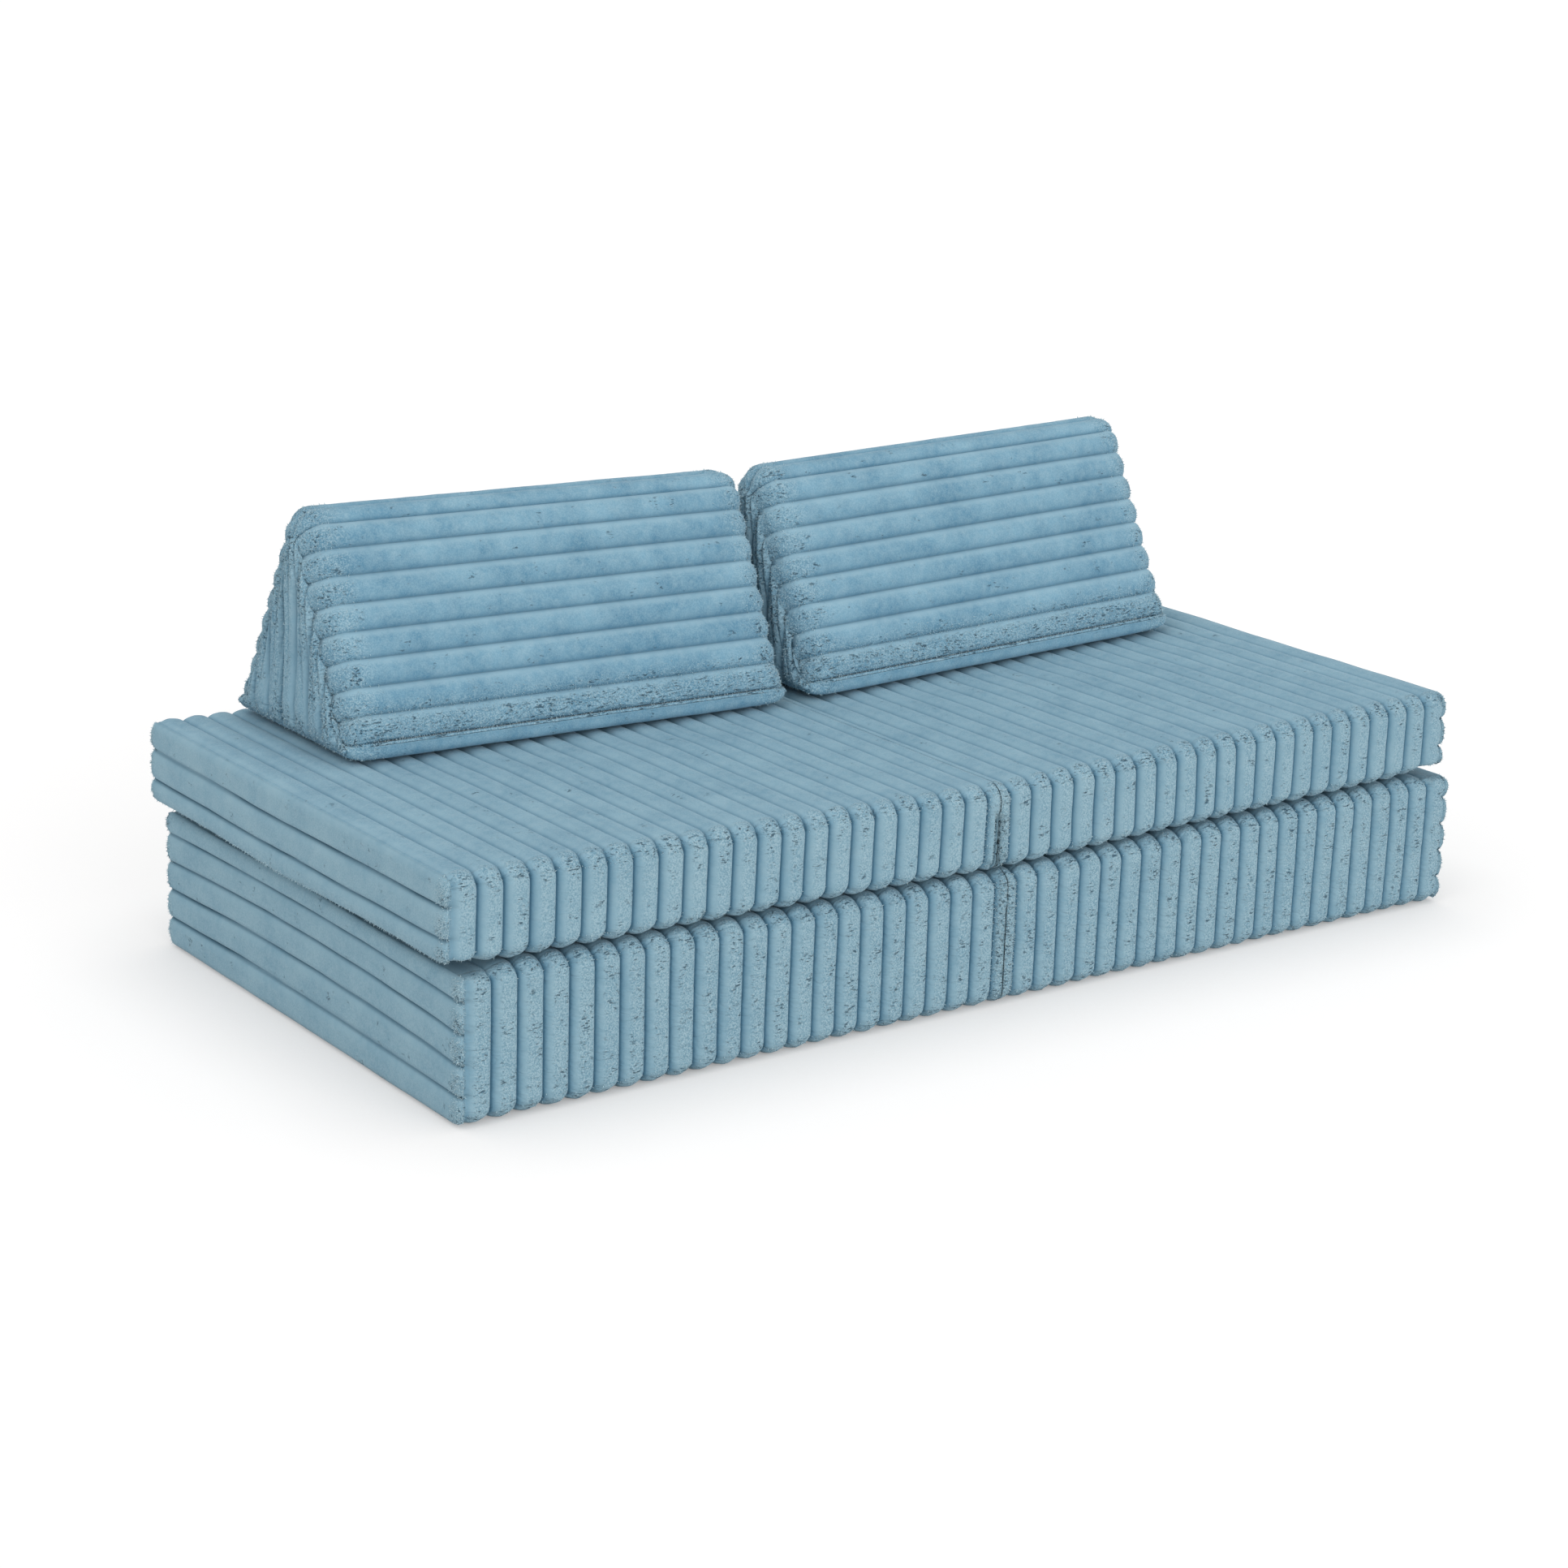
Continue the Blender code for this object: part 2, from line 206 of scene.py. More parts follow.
def mattress_sides(height):
    """The four sides of a mattress's section, from the middle of each round corner to the next."""
    radius = mattress_corner_radius
    reach = half_depth - radius
    corners = ((-reach, radius), (reach, radius), (reach, height - radius), (-reach, height - radius))
    eighth = math.pi / 4
    loop_sides = []
    for index, corner in enumerate(corners):
        first, second = (2 * index + 5) % 8, (2 * index + 6) % 8
        loop_sides.append((
            (*corner, radius, first * eighth, (first + 1) * eighth),
            (*corners[index - 3], radius, second * eighth, (second + 1) * eighth),
        ))
    return loop_sides


def bolster_slope():
    """The angle at which a bolster's back slope faces."""
    rise = bolster_height - bolster_apex_radius - bolster_foot_radius
    slant = Vector((bolster_foot_radius - bolster_depth / 2, rise))
    spread = math.acos((bolster_foot_radius - bolster_apex_radius) / slant.length)
    return math.atan2(slant.y, slant.x) - spread


def bolster_sides():
    """The underside and the upper side of a bolster's section, which meet at its front and back points."""
    foot = bolster_depth / 2 - bolster_foot_radius
    slope = bolster_slope()
    apex = bolster_height - bolster_apex_radius
    radius = bolster_foot_radius
    return (
        ((-foot, radius, radius, math.pi, 1.5 * math.pi), (foot, radius, radius, 1.5 * math.pi, 2 * math.pi)),
        (
            (foot, radius, radius, 0, slope),
            (0, apex, bolster_apex_radius, slope, math.pi - slope),
            (-foot, radius, radius, math.pi - slope, math.pi),
        ),
    )


def rib_stations(count, steps, start=0.0):
    """Places in ribs, closer together at the grooves."""
    even = np.arange(steps) / steps
    packed = (1 - np.cos(np.pi * even)) / 2
    within = 0.55 * even + 0.45 * packed
    places = (np.arange(count)[:, None] + within[None, :]).ravel()
    places = np.concatenate([places, [count]])
    return places[places >= start - 1e-9]


def outline_distance(panel, rim):
    """How far a panel's points are from its rim, seen from the end."""
    points, outline = panel[..., 1:].reshape(-1, 2), rim[:, 1:]
    least = np.full(len(points), np.inf)
    for first, last in zip(outline, np.roll(outline, -1, 0)):
        line = last - first
        share = np.clip(((points - first) @ line) / max(line @ line, 1e-12), 0, 1)
        least = np.minimum(least, np.linalg.norm(points - first - share[:, None] * line, axis=1))
    return least.reshape(panel.shape[:2])


# Closed shells of rings and end panels


def cap_grid(count, columns, side_rows, rows):
    """Which of a ring's points lie round an end panel's grid."""
    grid = np.full((rows + 1, columns + 1), -1)
    grid[0] = np.arange(columns + 1)
    grid[rows] = (2 * columns + side_rows - np.arange(columns + 1)) % count
    if side_rows:
        grid[:, columns] = columns + np.arange(rows + 1)
        grid[:, 0] = (count - np.arange(rows + 1)) % count
    else:
        grid[:, 0] = 0
        grid[:, columns] = columns
    return grid


def end_panels(shape, rings):
    """Points of both end panels, each spanned between the four sides of its end ring."""
    grid = shape["grid"]
    a = shape["across"][None, :, None]
    b = shape["up"][:, None, None]
    panels = []
    for ring in (rings[0], rings[-1]):
        bottom, top = ring[grid[0]], ring[grid[-1]]
        front, back = ring[grid[:, 0]], ring[grid[:, -1]]
        span = (1 - b) * bottom[None] + b * top[None] + (1 - a) * front[:, None] + a * back[:, None]
        corners = (1 - a) * (1 - b) * bottom[0] + a * (1 - b) * bottom[-1]
        corners = corners + (1 - a) * b * top[0] + a * b * top[-1]
        panels.append(span - corners)
    return panels


def shell(stations, sections, loop, side_rows, across, up):
    """A closed cushion shape: rings of section points along it, and a grid over each end.

    Each section is (points, outward directions, bends). The result keeps its places along, around and over
    the ends, so that a coarse shape's swelling can be read across to a fine one."""
    rings = np.zeros((len(stations), len(sections[0][0]), 3))
    outward = np.zeros_like(rings)
    bend = np.zeros(rings.shape[:2])
    for index, (u, (points, directions, bends)) in enumerate(zip(stations, sections)):
        rings[index, :, 0] = u
        rings[index, :, 1:] = points
        outward[index, :, 1:] = directions
        bend[index] = bends
    grid = cap_grid(rings.shape[1], len(across) - 1, side_rows, len(up) - 1)
    inner = np.zeros(grid.shape, bool)
    inner[1:-1, 1:-1] = True
    return {
        "u": np.asarray(stations), "rings": rings, "outward": outward, "bend": bend, "loop": loop,
        "grid": grid, "inner": inner, "across": across, "up": up,
    }


def shell_faces(shape):
    """A shell's faces, and the numbers of its points on each end's grid: rings first, then inner points."""
    rows, columns = shape["rings"].shape[:2]
    number = np.arange(rows * columns).reshape(rows, columns)
    after = np.roll(number, -1, 1)
    faces = np.stack([number[:-1], after[:-1], after[1:], number[1:]], -1).reshape(-1, 4).tolist()
    inner = shape["inner"]
    numbered = []
    for end, ring_start in enumerate((0, (rows - 1) * columns)):
        ids = np.where(inner, 0, shape["grid"] + ring_start)
        ids[inner] = rows * columns + (end * inner.sum()) + np.arange(inner.sum())
        numbered.append(ids)
        cells = np.stack([ids[:-1, :-1], ids[:-1, 1:], ids[1:, 1:], ids[1:, :-1]], -1).reshape(-1, 4)
        for cell in cells.tolist():
            if end == 0:
                cell = cell[::-1]
            kept = [corner for place, corner in enumerate(cell) if corner != cell[place - 1]]
            if len(kept) > 2:
                faces.append(kept)
    return faces, numbered


def gather(shape, on_rings, *on_panels):
    """One array for all points of a shell, from its values on the rings and on the two end panels.

    One number, or one for each ring or each place round it, serves for all the points it stands for."""
    inner = shape["inner"]
    everywhere = np.ones(shape["rings"].shape[:2], bool)
    flat = []
    for values, kept in ((on_rings, everywhere), (on_panels[0], inner), (on_panels[1], inner)):
        values = np.asarray(values, float)
        flat.append(np.broadcast_to(values, kept.shape + values.shape[2:])[kept])
    return np.concatenate(flat)


def cubic_rows(coarse, fine, closed=False):
    """A matrix that reads values on coarse places smoothly across to fine places."""
    count = len(coarse) - 1 if closed else len(coarse)
    place = np.interp(fine, coarse, np.arange(len(coarse)))
    base = np.minimum(np.floor(place).astype(int), len(coarse) - 2)
    t = place - base
    weights = (
        -0.5 * t + t**2 - 0.5 * t**3,
        1 - 2.5 * t**2 + 1.5 * t**3,
        0.5 * t + 2 * t**2 - 1.5 * t**3,
        -0.5 * t**2 + 0.5 * t**3,
    )
    matrix = np.zeros((len(fine), count))
    for offset, weight in zip((-1, 0, 1, 2), weights):
        index = base + offset
        index = index % count if closed else np.clip(index, 0, count - 1)
        np.add.at(matrix, (np.arange(len(fine)), index), weight)
    return matrix


def blown_up(coarse):
    """How far each point of a coarse closed cover moves when the cloth is blown up by its stuffing."""
    faces, numbered = shell_faces(coarse)
    points = gather(coarse, coarse["rings"], *end_panels(coarse, coarse["rings"]))
    mesh = bpy.data.meshes.new("blown_cover")
    mesh.from_pydata(points.tolist(), [], faces)
    cover = bpy.data.objects.new("blown_cover", mesh)
    bpy.context.scene.collection.objects.link(cover)
    cloth = cover.modifiers.new("cloth", "CLOTH")
    cloth.settings.quality = cloth_quality
    cloth.settings.mass = cloth_mass
    cloth.settings.tension_stiffness = cloth_stiffness
    cloth.settings.compression_stiffness = cloth_stiffness
    cloth.settings.bending_stiffness = cloth_bending_stiffness
    cloth.settings.use_pressure = True
    cloth.settings.uniform_pressure_force = cloth_pressure
    cloth.settings.effector_weights.gravity = 0
    cloth.point_cache.frame_start = 1
    cloth.point_cache.frame_end = cloth_frames
    for step in range(1, cloth_frames + 1):
        bpy.context.scene.frame_set(step)
    blown = cover.evaluated_get(bpy.context.evaluated_depsgraph_get()).data
    moved = np.zeros(points.size, np.float32)
    blown.vertices.foreach_get("co", moved)
    shift = moved.reshape(-1, 3) - points
    bpy.data.objects.remove(cover, do_unlink=True)
    bpy.data.meshes.remove(mesh)
    bpy.context.scene.frame_set(1)
    length = np.maximum(np.linalg.norm(shift, axis=1, keepdims=True), 1e-9)
    shift *= swell_cap * np.tanh(length / swell_cap) / length
    ring_count = coarse["rings"].shape[0] * coarse["rings"].shape[1]
    return shift[:ring_count].reshape(coarse["rings"].shape), [shift[ids] for ids in numbered]


def swelling(fine, coarse):
    rings, panels = blown_up(coarse)
    along = cubic_rows(coarse["u"], fine["u"])
    around = cubic_rows(coarse["loop"], fine["loop"][:-1], closed=True)
    across = cubic_rows(coarse["across"], fine["across"])
    up = cubic_rows(coarse["up"], fine["up"])
    fine_rings = np.einsum("ij,jkc,lk->ilc", along, rings, around, optimize=True)
    return fine_rings, [np.einsum("ij,jkc,lk->ilc", up, panel, across, optimize=True) for panel in panels]


def smooth(low, high, value):
    """Nothing below low, one above high, and a smooth rise between."""
    share = np.clip((value - low) / (high - low), 0, 1)
    return share * share * (3 - 2 * share)


def held_out(lift):
    """A swelling past its start that never sinks a cover on to its foam, however the cloth was drawn in."""
    return swell_least + MM * np.log1p(np.exp((lift - swell_start - swell_least) / MM))


def quarter_round(share):
    """How high a quarter round stands at a share of the way in from its edge."""
    return np.sqrt(1 - (1 - np.clip(share, 0, 1)) ** 2)


def crease(place, fullness):
    """How deep a groove is at a place counted in ribs: nothing on a crest, one between two ribs."""
    off_crest = np.abs(2 * (place - np.floor(place)) - 1)
    return 1 - (1 - off_crest**fullness) ** roll_power


def over_zip(off_middle, along, piece_length):
    """All where a cover lies over its zip, and nothing past the lip of the slot."""
    half_run = piece_length / 2 - zip_margin
    over = smooth(zip_slot_height / 2 + zip_lip, zip_slot_height / 2, off_middle)
    return over * smooth(half_run + zip_lip, half_run, along)


def mesh_piece(name, points, faces, attributes):
    """A mesh object with its place in its points, and named values on them."""
    mesh = bpy.data.meshes.new(name)
    mesh.from_pydata(points.tolist(), [], faces)
    for label, values in attributes.items():
        kind, field = ("FLOAT_VECTOR", "vector") if values.ndim == 2 else ("FLOAT", "value")
        layer = mesh.attributes.new(label, kind, "POINT")
        layer.data.foreach_set(field, values.astype(np.float32).ravel())
    mesh.polygons.foreach_set("use_smooth", [True] * len(mesh.polygons))
    piece = bpy.data.objects.new(name, mesh)
    bpy.context.scene.collection.objects.link(piece)
    return piece


# Geometry trees


def new_tree(name, inputs):
    """A geometry tree with named inputs, each a name, a kind of socket and a value; and those inputs."""
    tree = bpy.data.node_groups.new(name, "GeometryNodeTree")
    tree.interface.new_socket("Geometry", in_out="INPUT", socket_type="NodeSocketGeometry")
    tree.interface.new_socket("Geometry", in_out="OUTPUT", socket_type="NodeSocketGeometry")
    for label, kind, value in inputs:
        socket = tree.interface.new_socket(label, in_out="INPUT", socket_type=kind)
        if value is not None:
            socket.default_value = value
    return tree, tree.nodes.new("NodeGroupInput").outputs


def grow(piece, tree, values):
    """Run a geometry tree on a piece with its inputs set, and keep the result as a plain mesh."""
    step = piece.modifiers.new("grow", "NODES")
    step.node_group = tree
    for socket in tree.interface.items_tree:
        if socket.name in values:
            step[socket.identifier] = values[socket.name]
    graph = bpy.context.evaluated_depsgraph_get()
    grown = piece.evaluated_get(graph)
    mesh = bpy.data.meshes.new_from_object(grown, preserve_all_data_layers=True, depsgraph=graph)
    piece.modifiers.remove(step)
    old = piece.data
    piece.data = mesh
    mesh.name = piece.name
    bpy.data.meshes.remove(old)


def rib_tree():
    """Turns a smooth cover into ribbed plush: rounded rolls with narrow grooves that wander a little."""
    tree, given = new_tree("plush ribs", (
        ("Groove depth", "NodeSocketFloat", plush_depth),
        ("Groove wander", "NodeSocketFloat", 2.2 * MM),
        ("Unevenness", "NodeSocketFloat", 0.8 * MM),
        ("Crumple depth", "NodeSocketFloat", 3.2 * MM),
        ("Clump size", "NodeSocketFloat", 11 * MM),
        ("Uneven places per metre", "NodeSocketFloat", 14.0),
        ("Tears per metre", "NodeSocketFloat", 160.0),
        ("Wanderings per metre", "NodeSocketFloat", 7.0),
        ("Left flank", "NodeSocketFloat", 1.0),
        ("Seed", "NodeSocketFloat", 1.0),
        ("Material", "NodeSocketMaterial", None),
    ))
    kinds = {"outward": "FLOAT_VECTOR", "sideways": "FLOAT_VECTOR"}
    place, share, wear, fullness, slack, outward, sideways = (
        add(tree, "GeometryNodeInputNamedAttribute", {"Name": name}, data_type=kinds.get(name, "FLOAT"))
        for name in ("rib_place", "rib_share", "wear", "fullness", "slack", "outward", "sideways")
    )
    # A roll's height from its crest, 1, to its groove, 0
    across = add(tree, "ShaderNodeMath", {0: place}, operation="FRACT")
    doubled = add(tree, "ShaderNodeMath", {0: across, 1: 2.0, 2: -1.0}, operation="MULTIPLY_ADD")
    off_crest = add(tree, "ShaderNodeMath", {0: doubled}, operation="ABSOLUTE")
    power = add(tree, "ShaderNodeMath", {0: off_crest, 1: fullness}, operation="POWER")
    rest = add(tree, "ShaderNodeMath", {0: 1.0, 1: power}, operation="SUBTRACT", use_clamp=True)
    roll = add(tree, "ShaderNodeMath", {0: rest, 1: roll_power}, operation="POWER")
    groove = add(tree, "ShaderNodeMath", {0: 1.0, 1: roll}, operation="SUBTRACT")
    held = add(tree, "ShaderNodeMath", {0: groove, 1: share}, operation="MULTIPLY")
    drop = add(tree, "ShaderNodeMath", {0: held, 1: given["Groove depth"]}, operation="MULTIPLY")
    seeded = add(tree, "ShaderNodeCombineXYZ", {2: given["Seed"]})
    position = add(tree, "GeometryNodeInputPosition")
    moved = add(tree, "ShaderNodeVectorMath", {0: position, 1: seeded}, operation="ADD")
    # Slack cloth is uneven, and worn pile has pits between its clumps
    uneven = add(tree, "ShaderNodeTexNoise", {
        "Vector": moved, "Scale": given["Uneven places per metre"], "Detail": 2.0,
    })
    lift = add(tree, "ShaderNodeMath", {0: uneven, 1: 0.5}, operation="SUBTRACT")
    for factor in (given["Unevenness"], slack):
        lift = add(tree, "ShaderNodeMath", {0: lift, 1: factor}, operation="MULTIPLY")
    grain = add(tree, "ShaderNodeMath", {0: 1.0, 1: given["Clump size"]}, operation="DIVIDE")
    crumple = add(tree, "ShaderNodeTexVoronoi", {"Vector": moved, "Scale": grain}, feature="SMOOTH_F1")
    torn = add(tree, "ShaderNodeTexNoise", {
        "Vector": moved, "Scale": given["Tears per metre"], "Detail": 3.0,
    })
    for factor in (torn, 2.0, wear, rest, given["Crumple depth"]):
        crumple = add(tree, "ShaderNodeMath", {0: crumple, 1: factor}, operation="MULTIPLY")
    height = add(tree, "ShaderNodeMath", {0: lift, 1: drop}, operation="SUBTRACT")
    height = add(tree, "ShaderNodeMath", {0: height, 1: crumple}, operation="SUBTRACT")
    rise = add(tree, "ShaderNodeVectorMath", {0: outward, "Scale": height}, operation="SCALE")
    wander = add(tree, "ShaderNodeTexNoise", {
        "Vector": moved, "Scale": given["Wanderings per metre"], "Detail": 1.0,
    })
    drift = add(tree, "ShaderNodeMath", {0: wander, 1: 0.5}, operation="SUBTRACT")
    for factor in (given["Groove wander"], 2.0, share):
        drift = add(tree, "ShaderNodeMath", {0: drift, 1: factor}, operation="MULTIPLY")
    slide = add(tree, "ShaderNodeVectorMath", {0: sideways, "Scale": drift}, operation="SCALE")
    offset = add(tree, "ShaderNodeVectorMath", {0: rise, 1: slide}, operation="ADD")
    kept = add(tree, "GeometryNodeSetPosition", {"Geometry": given["Geometry"], "Offset": offset})
    lean = add(tree, "ShaderNodeMath", {0: doubled, 1: given["Left flank"]}, operation="MULTIPLY")
    for name, value in (("groove", held), ("lean", lean)):
        kept = add(tree, "GeometryNodeStoreNamedAttribute", {
            "Geometry": kept, "Name": name, "Value": value,
        }, data_type="FLOAT", domain="POINT")
    whole = add(tree, "GeometryNodeRealizeInstances", {"Geometry": kept})
    dressed = add(tree, "GeometryNodeSetMaterial", {"Geometry": whole, "Material": given["Material"]})
    add(tree, "NodeGroupOutput", {0: dressed})
    return tree


def tuft_tree():
    """Short tufts of pile that stand up where the plush is ruffled, each a thin three-sided spike."""
    tree, given = new_tree("ruffled pile", (
        ("Tufts per area", "NodeSocketFloat", 150000.0),
        ("Tuft length", "NodeSocketFloat", 3.6 * MM),
        ("Tuft thickness", "NodeSocketFloat", 0.75 * MM),
        ("Seed", "NodeSocketInt", 1),
        ("Material", "NodeSocketMaterial", None),
    ))
    ruffle = add(tree, "GeometryNodeInputNamedAttribute", {"Name": "ruffle"}, data_type="FLOAT")
    density = add(tree, "ShaderNodeMath", {0: ruffle, 1: given["Tufts per area"]}, operation="MULTIPLY")
    roots = add(tree, "GeometryNodeDistributePointsOnFaces", {
        "Mesh": given["Geometry"], "Density": density, "Seed": given["Seed"],
    }, distribute_method="RANDOM")
    spike = add(tree, "GeometryNodeMeshCone", {
        "Vertices": 3, "Radius Top": 0.0, "Radius Bottom": given["Tuft thickness"],
        "Depth": given["Tuft length"],
    })
    spike = add(tree, "GeometryNodeStoreNamedAttribute", {
        "Geometry": spike, "Name": "tuft", "Value": 1.0,
    }, data_type="FLOAT", domain="POINT")
    # Each tuft leans up to half a radian to any side, is turned anyhow, and is half to all of the length
    tilt = add(tree, "FunctionNodeRandomValue", {
        0: (-0.5, -0.5, 0), 1: (0.5, 0.5, 6.28),
    }, data_type="FLOAT_VECTOR")
    turned = add(tree, "FunctionNodeRotateRotation", {
        "Rotation": roots.outputs["Rotation"], "Rotate By": tilt,
    }, rotation_space="LOCAL")
    size = add(tree, "FunctionNodeRandomValue", {2: 0.5, 3: 1.0}, data_type="FLOAT")
    tufts = add(tree, "GeometryNodeInstanceOnPoints", {
        "Points": roots, "Instance": spike, "Rotation": turned, "Scale": size,
    })
    both = add(tree, "GeometryNodeJoinGeometry", {0: given["Geometry"]})
    tree.links.new(tufts.outputs[0], both.inputs[0])
    whole = add(tree, "GeometryNodeRealizeInstances", {"Geometry": both})
    dressed = add(tree, "GeometryNodeSetMaterial", {"Geometry": whole, "Material": given["Material"]})
    add(tree, "NodeGroupOutput", {0: dressed})
    return tree


def coil_tree():
    """A row of coil loops along a zip: each tooth is a short round bar across the tape."""
    tree, given = new_tree("zip coil", (
        ("Length", "NodeSocketFloat", 0.5),
        ("Tooth pitch", "NodeSocketFloat", coil_tooth_pitch),
        ("Tooth slant", "NodeSocketFloat", coil_tooth_slant),
        ("Wire radius", "NodeSocketFloat", coil_wire_radius),
        ("Width", "NodeSocketFloat", coil_width),
        ("Height", "NodeSocketFloat", coil_height),
        ("Material", "NodeSocketMaterial", None),
    ))
    half = add(tree, "ShaderNodeMath", {0: given["Length"], 1: 0.5}, operation="MULTIPLY")
    back = add(tree, "ShaderNodeMath", {0: half, 1: -1.0}, operation="MULTIPLY")
    start = add(tree, "ShaderNodeCombineXYZ", {0: back})
    end = add(tree, "ShaderNodeCombineXYZ", {0: half})
    line = add(tree, "GeometryNodeCurvePrimitiveLine", {"Start": start, "End": end})
    points = add(tree, "GeometryNodeCurveToPoints", {
        "Curve": line, "Length": given["Tooth pitch"],
    }, mode="LENGTH")
    tooth = add(tree, "GeometryNodeMeshCylinder", {
        "Vertices": 8, "Radius": given["Wire radius"], "Depth": given["Width"],
    })
    tooth = add(tree, "GeometryNodeSetShadeSmooth", {0: tooth})
    # The round bar is squeezed so that it is as high as the coil
    flat = add(tree, "ShaderNodeMath", {0: given["Height"], 1: given["Wire radius"]}, operation="DIVIDE")
    flat = add(tree, "ShaderNodeMath", {0: flat, 1: 0.5}, operation="MULTIPLY")
    size = add(tree, "ShaderNodeCombineXYZ", {0: 1.0, 1: flat, 2: 1.0})
    turn = add(tree, "ShaderNodeCombineXYZ", {1: given["Tooth slant"]})
    row = add(tree, "GeometryNodeInstanceOnPoints", {
        "Points": points, "Instance": tooth, "Rotation": turn, "Scale": size,
    })
    whole = add(tree, "GeometryNodeRealizeInstances", {"Geometry": row})
    dressed = add(tree, "GeometryNodeSetMaterial", {"Geometry": whole, "Material": given["Material"]})
    add(tree, "NodeGroupOutput", {0: dressed})
    return tree


# Materials. A Mix node takes its two colours at sockets 6 and 7.


def new_material(name):
    """A material with a node tree; its tree, its shader and the place of each point on the object."""
    material = bpy.data.materials.new(name)
    material.use_nodes = True
    tree = material.node_tree
    return material, tree, tree.nodes["Principled BSDF"], add(tree, "ShaderNodeTexCoord").outputs["Object"]


def plush_material():
    """Jumbo-rib polyester plush, brushed: a dull, soft nap that is pale on the crests, with painted shade that
    deepens it in the grooves and breaks it into small dark pits where the fabric bends, and painted highlights
    on rib edges, clumps and tufts."""
    material, tree, shader, where = new_material("brushed jumbo-rib plush")
    groove, wear, laid_nap_and_shade, lean, tuft, painted_crevice_shade = (
        add(tree, "ShaderNodeAttribute", attribute_name=name).outputs["Fac"]
        for name in ("groove", "wear", "laid_nap_and_shade", "lean", "tuft", "painted_crevice_shade")
    )
    # Stroked patches of nap, about 60 mm across, and cloudy ones of 12 mm within them.
    # Pile tips of 0.3 mm are drawn at 2.2 mm, so that they show.
    patches, clouds, pile = (
        add(tree, "ShaderNodeTexNoise", {
            "Vector": where, "Scale": 1 / size, "Detail": detail, "Roughness": rough,
        })
        for size, detail, rough in ((60 * MM, 3.0, 0.55), (12 * MM, 4.0, 0.6), (2.2 * MM, 3.0, 0.7))
    )
    tone = add(tree, "ShaderNodeMapRange", {"Value": patches, "From Min": 0.32, "From Max": 0.68})
    # Laid nap is deeper in tone: partly the pile's brushed direction, partly painted shade set by which way a
    # face looks
    upright, laid_and_shaded = (
        add(tree, "ShaderNodeMix", {"Factor": tone, 6: linear(low), 7: linear(high)}, data_type="RGBA")
        for low, high in (("#80a4b5", "#8eafbd"), ("#5185a2", "#7ba8bf"))
    )
    nap = add(tree, "ShaderNodeMix", {"Factor": laid_nap_and_shade, 6: upright, 7: laid_and_shaded}, data_type="RGBA")
    cloudy = add(tree, "ShaderNodeMapRange", {
        "Value": clouds, "From Min": 0.35, "From Max": 0.75, "To Max": 0.5,
    })
    # On the bolsters and tops the nap is laid down the ribs, with a painted highlight along their upper edges
    edge = add(tree, "ShaderNodeMapRange", {
        "Value": lean, "From Min": -0.25, "From Max": -0.75, "To Max": 0.55,
    }, interpolation_type="SMOOTHSTEP")
    edge = add(tree, "ShaderNodeMath", {0: edge, 1: laid_nap_and_shade}, operation="MULTIPLY")
    # Painted shade makes the grooves deeper in colour, less so where the nap is laid, with more painted shade
    # at their bottoms, where seat and base are pressed shut and in the end panels' grooves
    faint = add(tree, "ShaderNodeMapRange", {"Value": laid_nap_and_shade, "To Min": 1.0, "To Max": 0.2})
    depth = add(tree, "ShaderNodeMapRange", {
        "Value": groove, "From Min": 0.12, "From Max": 0.9, "To Max": 0.85,
    }, interpolation_type="SMOOTHSTEP")
    depth = add(tree, "ShaderNodeMath", {0: depth, 1: faint}, operation="MULTIPLY")
    bottom = add(tree, "ShaderNodeMapRange", {
        "Value": groove, "From Min": 0.6, "From Max": 0.95, "To Max": 0.85,
    })
    bottom = add(tree, "ShaderNodeMath", {0: bottom, 1: faint}, operation="MULTIPLY")
    crevice_shade = add(tree, "ShaderNodeMapRange", {
        "Value": painted_crevice_shade, "From Min": 0.25, "From Max": 0.8, "To Max": 0.85,
    })
    # The left flank of each upright rib lies smooth, and the rest of it is crushed
    brushed = add(tree, "ShaderNodeMapRange", {
        "Value": wear, "From Min": 0.05, "From Max": 0.45, "To Min": 0.15, "To Max": 1.0,
    })
    flank = add(tree, "ShaderNodeMapRange", {
        "Value": lean, "From Min": -0.8, "From Max": -0.35,
    }, interpolation_type="SMOOTHSTEP")
    matted = add(tree, "ShaderNodeMapRange", {"Value": wear, "From Min": 0.75, "From Max": 0.95})
    flank = add(tree, "ShaderNodeMath", {0: flank, 1: matted}, operation="MAXIMUM")
    crest = add(tree, "ShaderNodeMath", {0: 1.0, 1: depth}, operation="SUBTRACT")
    crushed = add(tree, "ShaderNodeMath", {0: flank, 1: crest}, operation="MULTIPLY")
    rough_nap = add(tree, "ShaderNodeMath", {0: brushed, 1: crushed}, operation="MULTIPLY")
    # Painted shade in the pits of the crushed pile and a painted highlight on its clumps, following the fine
    # bump
    pit_shade = add(tree, "ShaderNodeMapRange", {
        "Value": pile, "From Min": 0.5, "From Max": 0.38, "To Max": 0.5,
    })
    pit_shade = add(tree, "ShaderNodeMath", {0: pit_shade, 1: rough_nap}, operation="MULTIPLY")
    clump_highlight = add(tree, "ShaderNodeMapRange", {
        "Value": pile, "From Min": 0.48, "From Max": 0.6, "To Max": 0.6,
    })
    clump_highlight = add(tree, "ShaderNodeMath", {0: clump_highlight, 1: rough_nap}, operation="MULTIPLY")
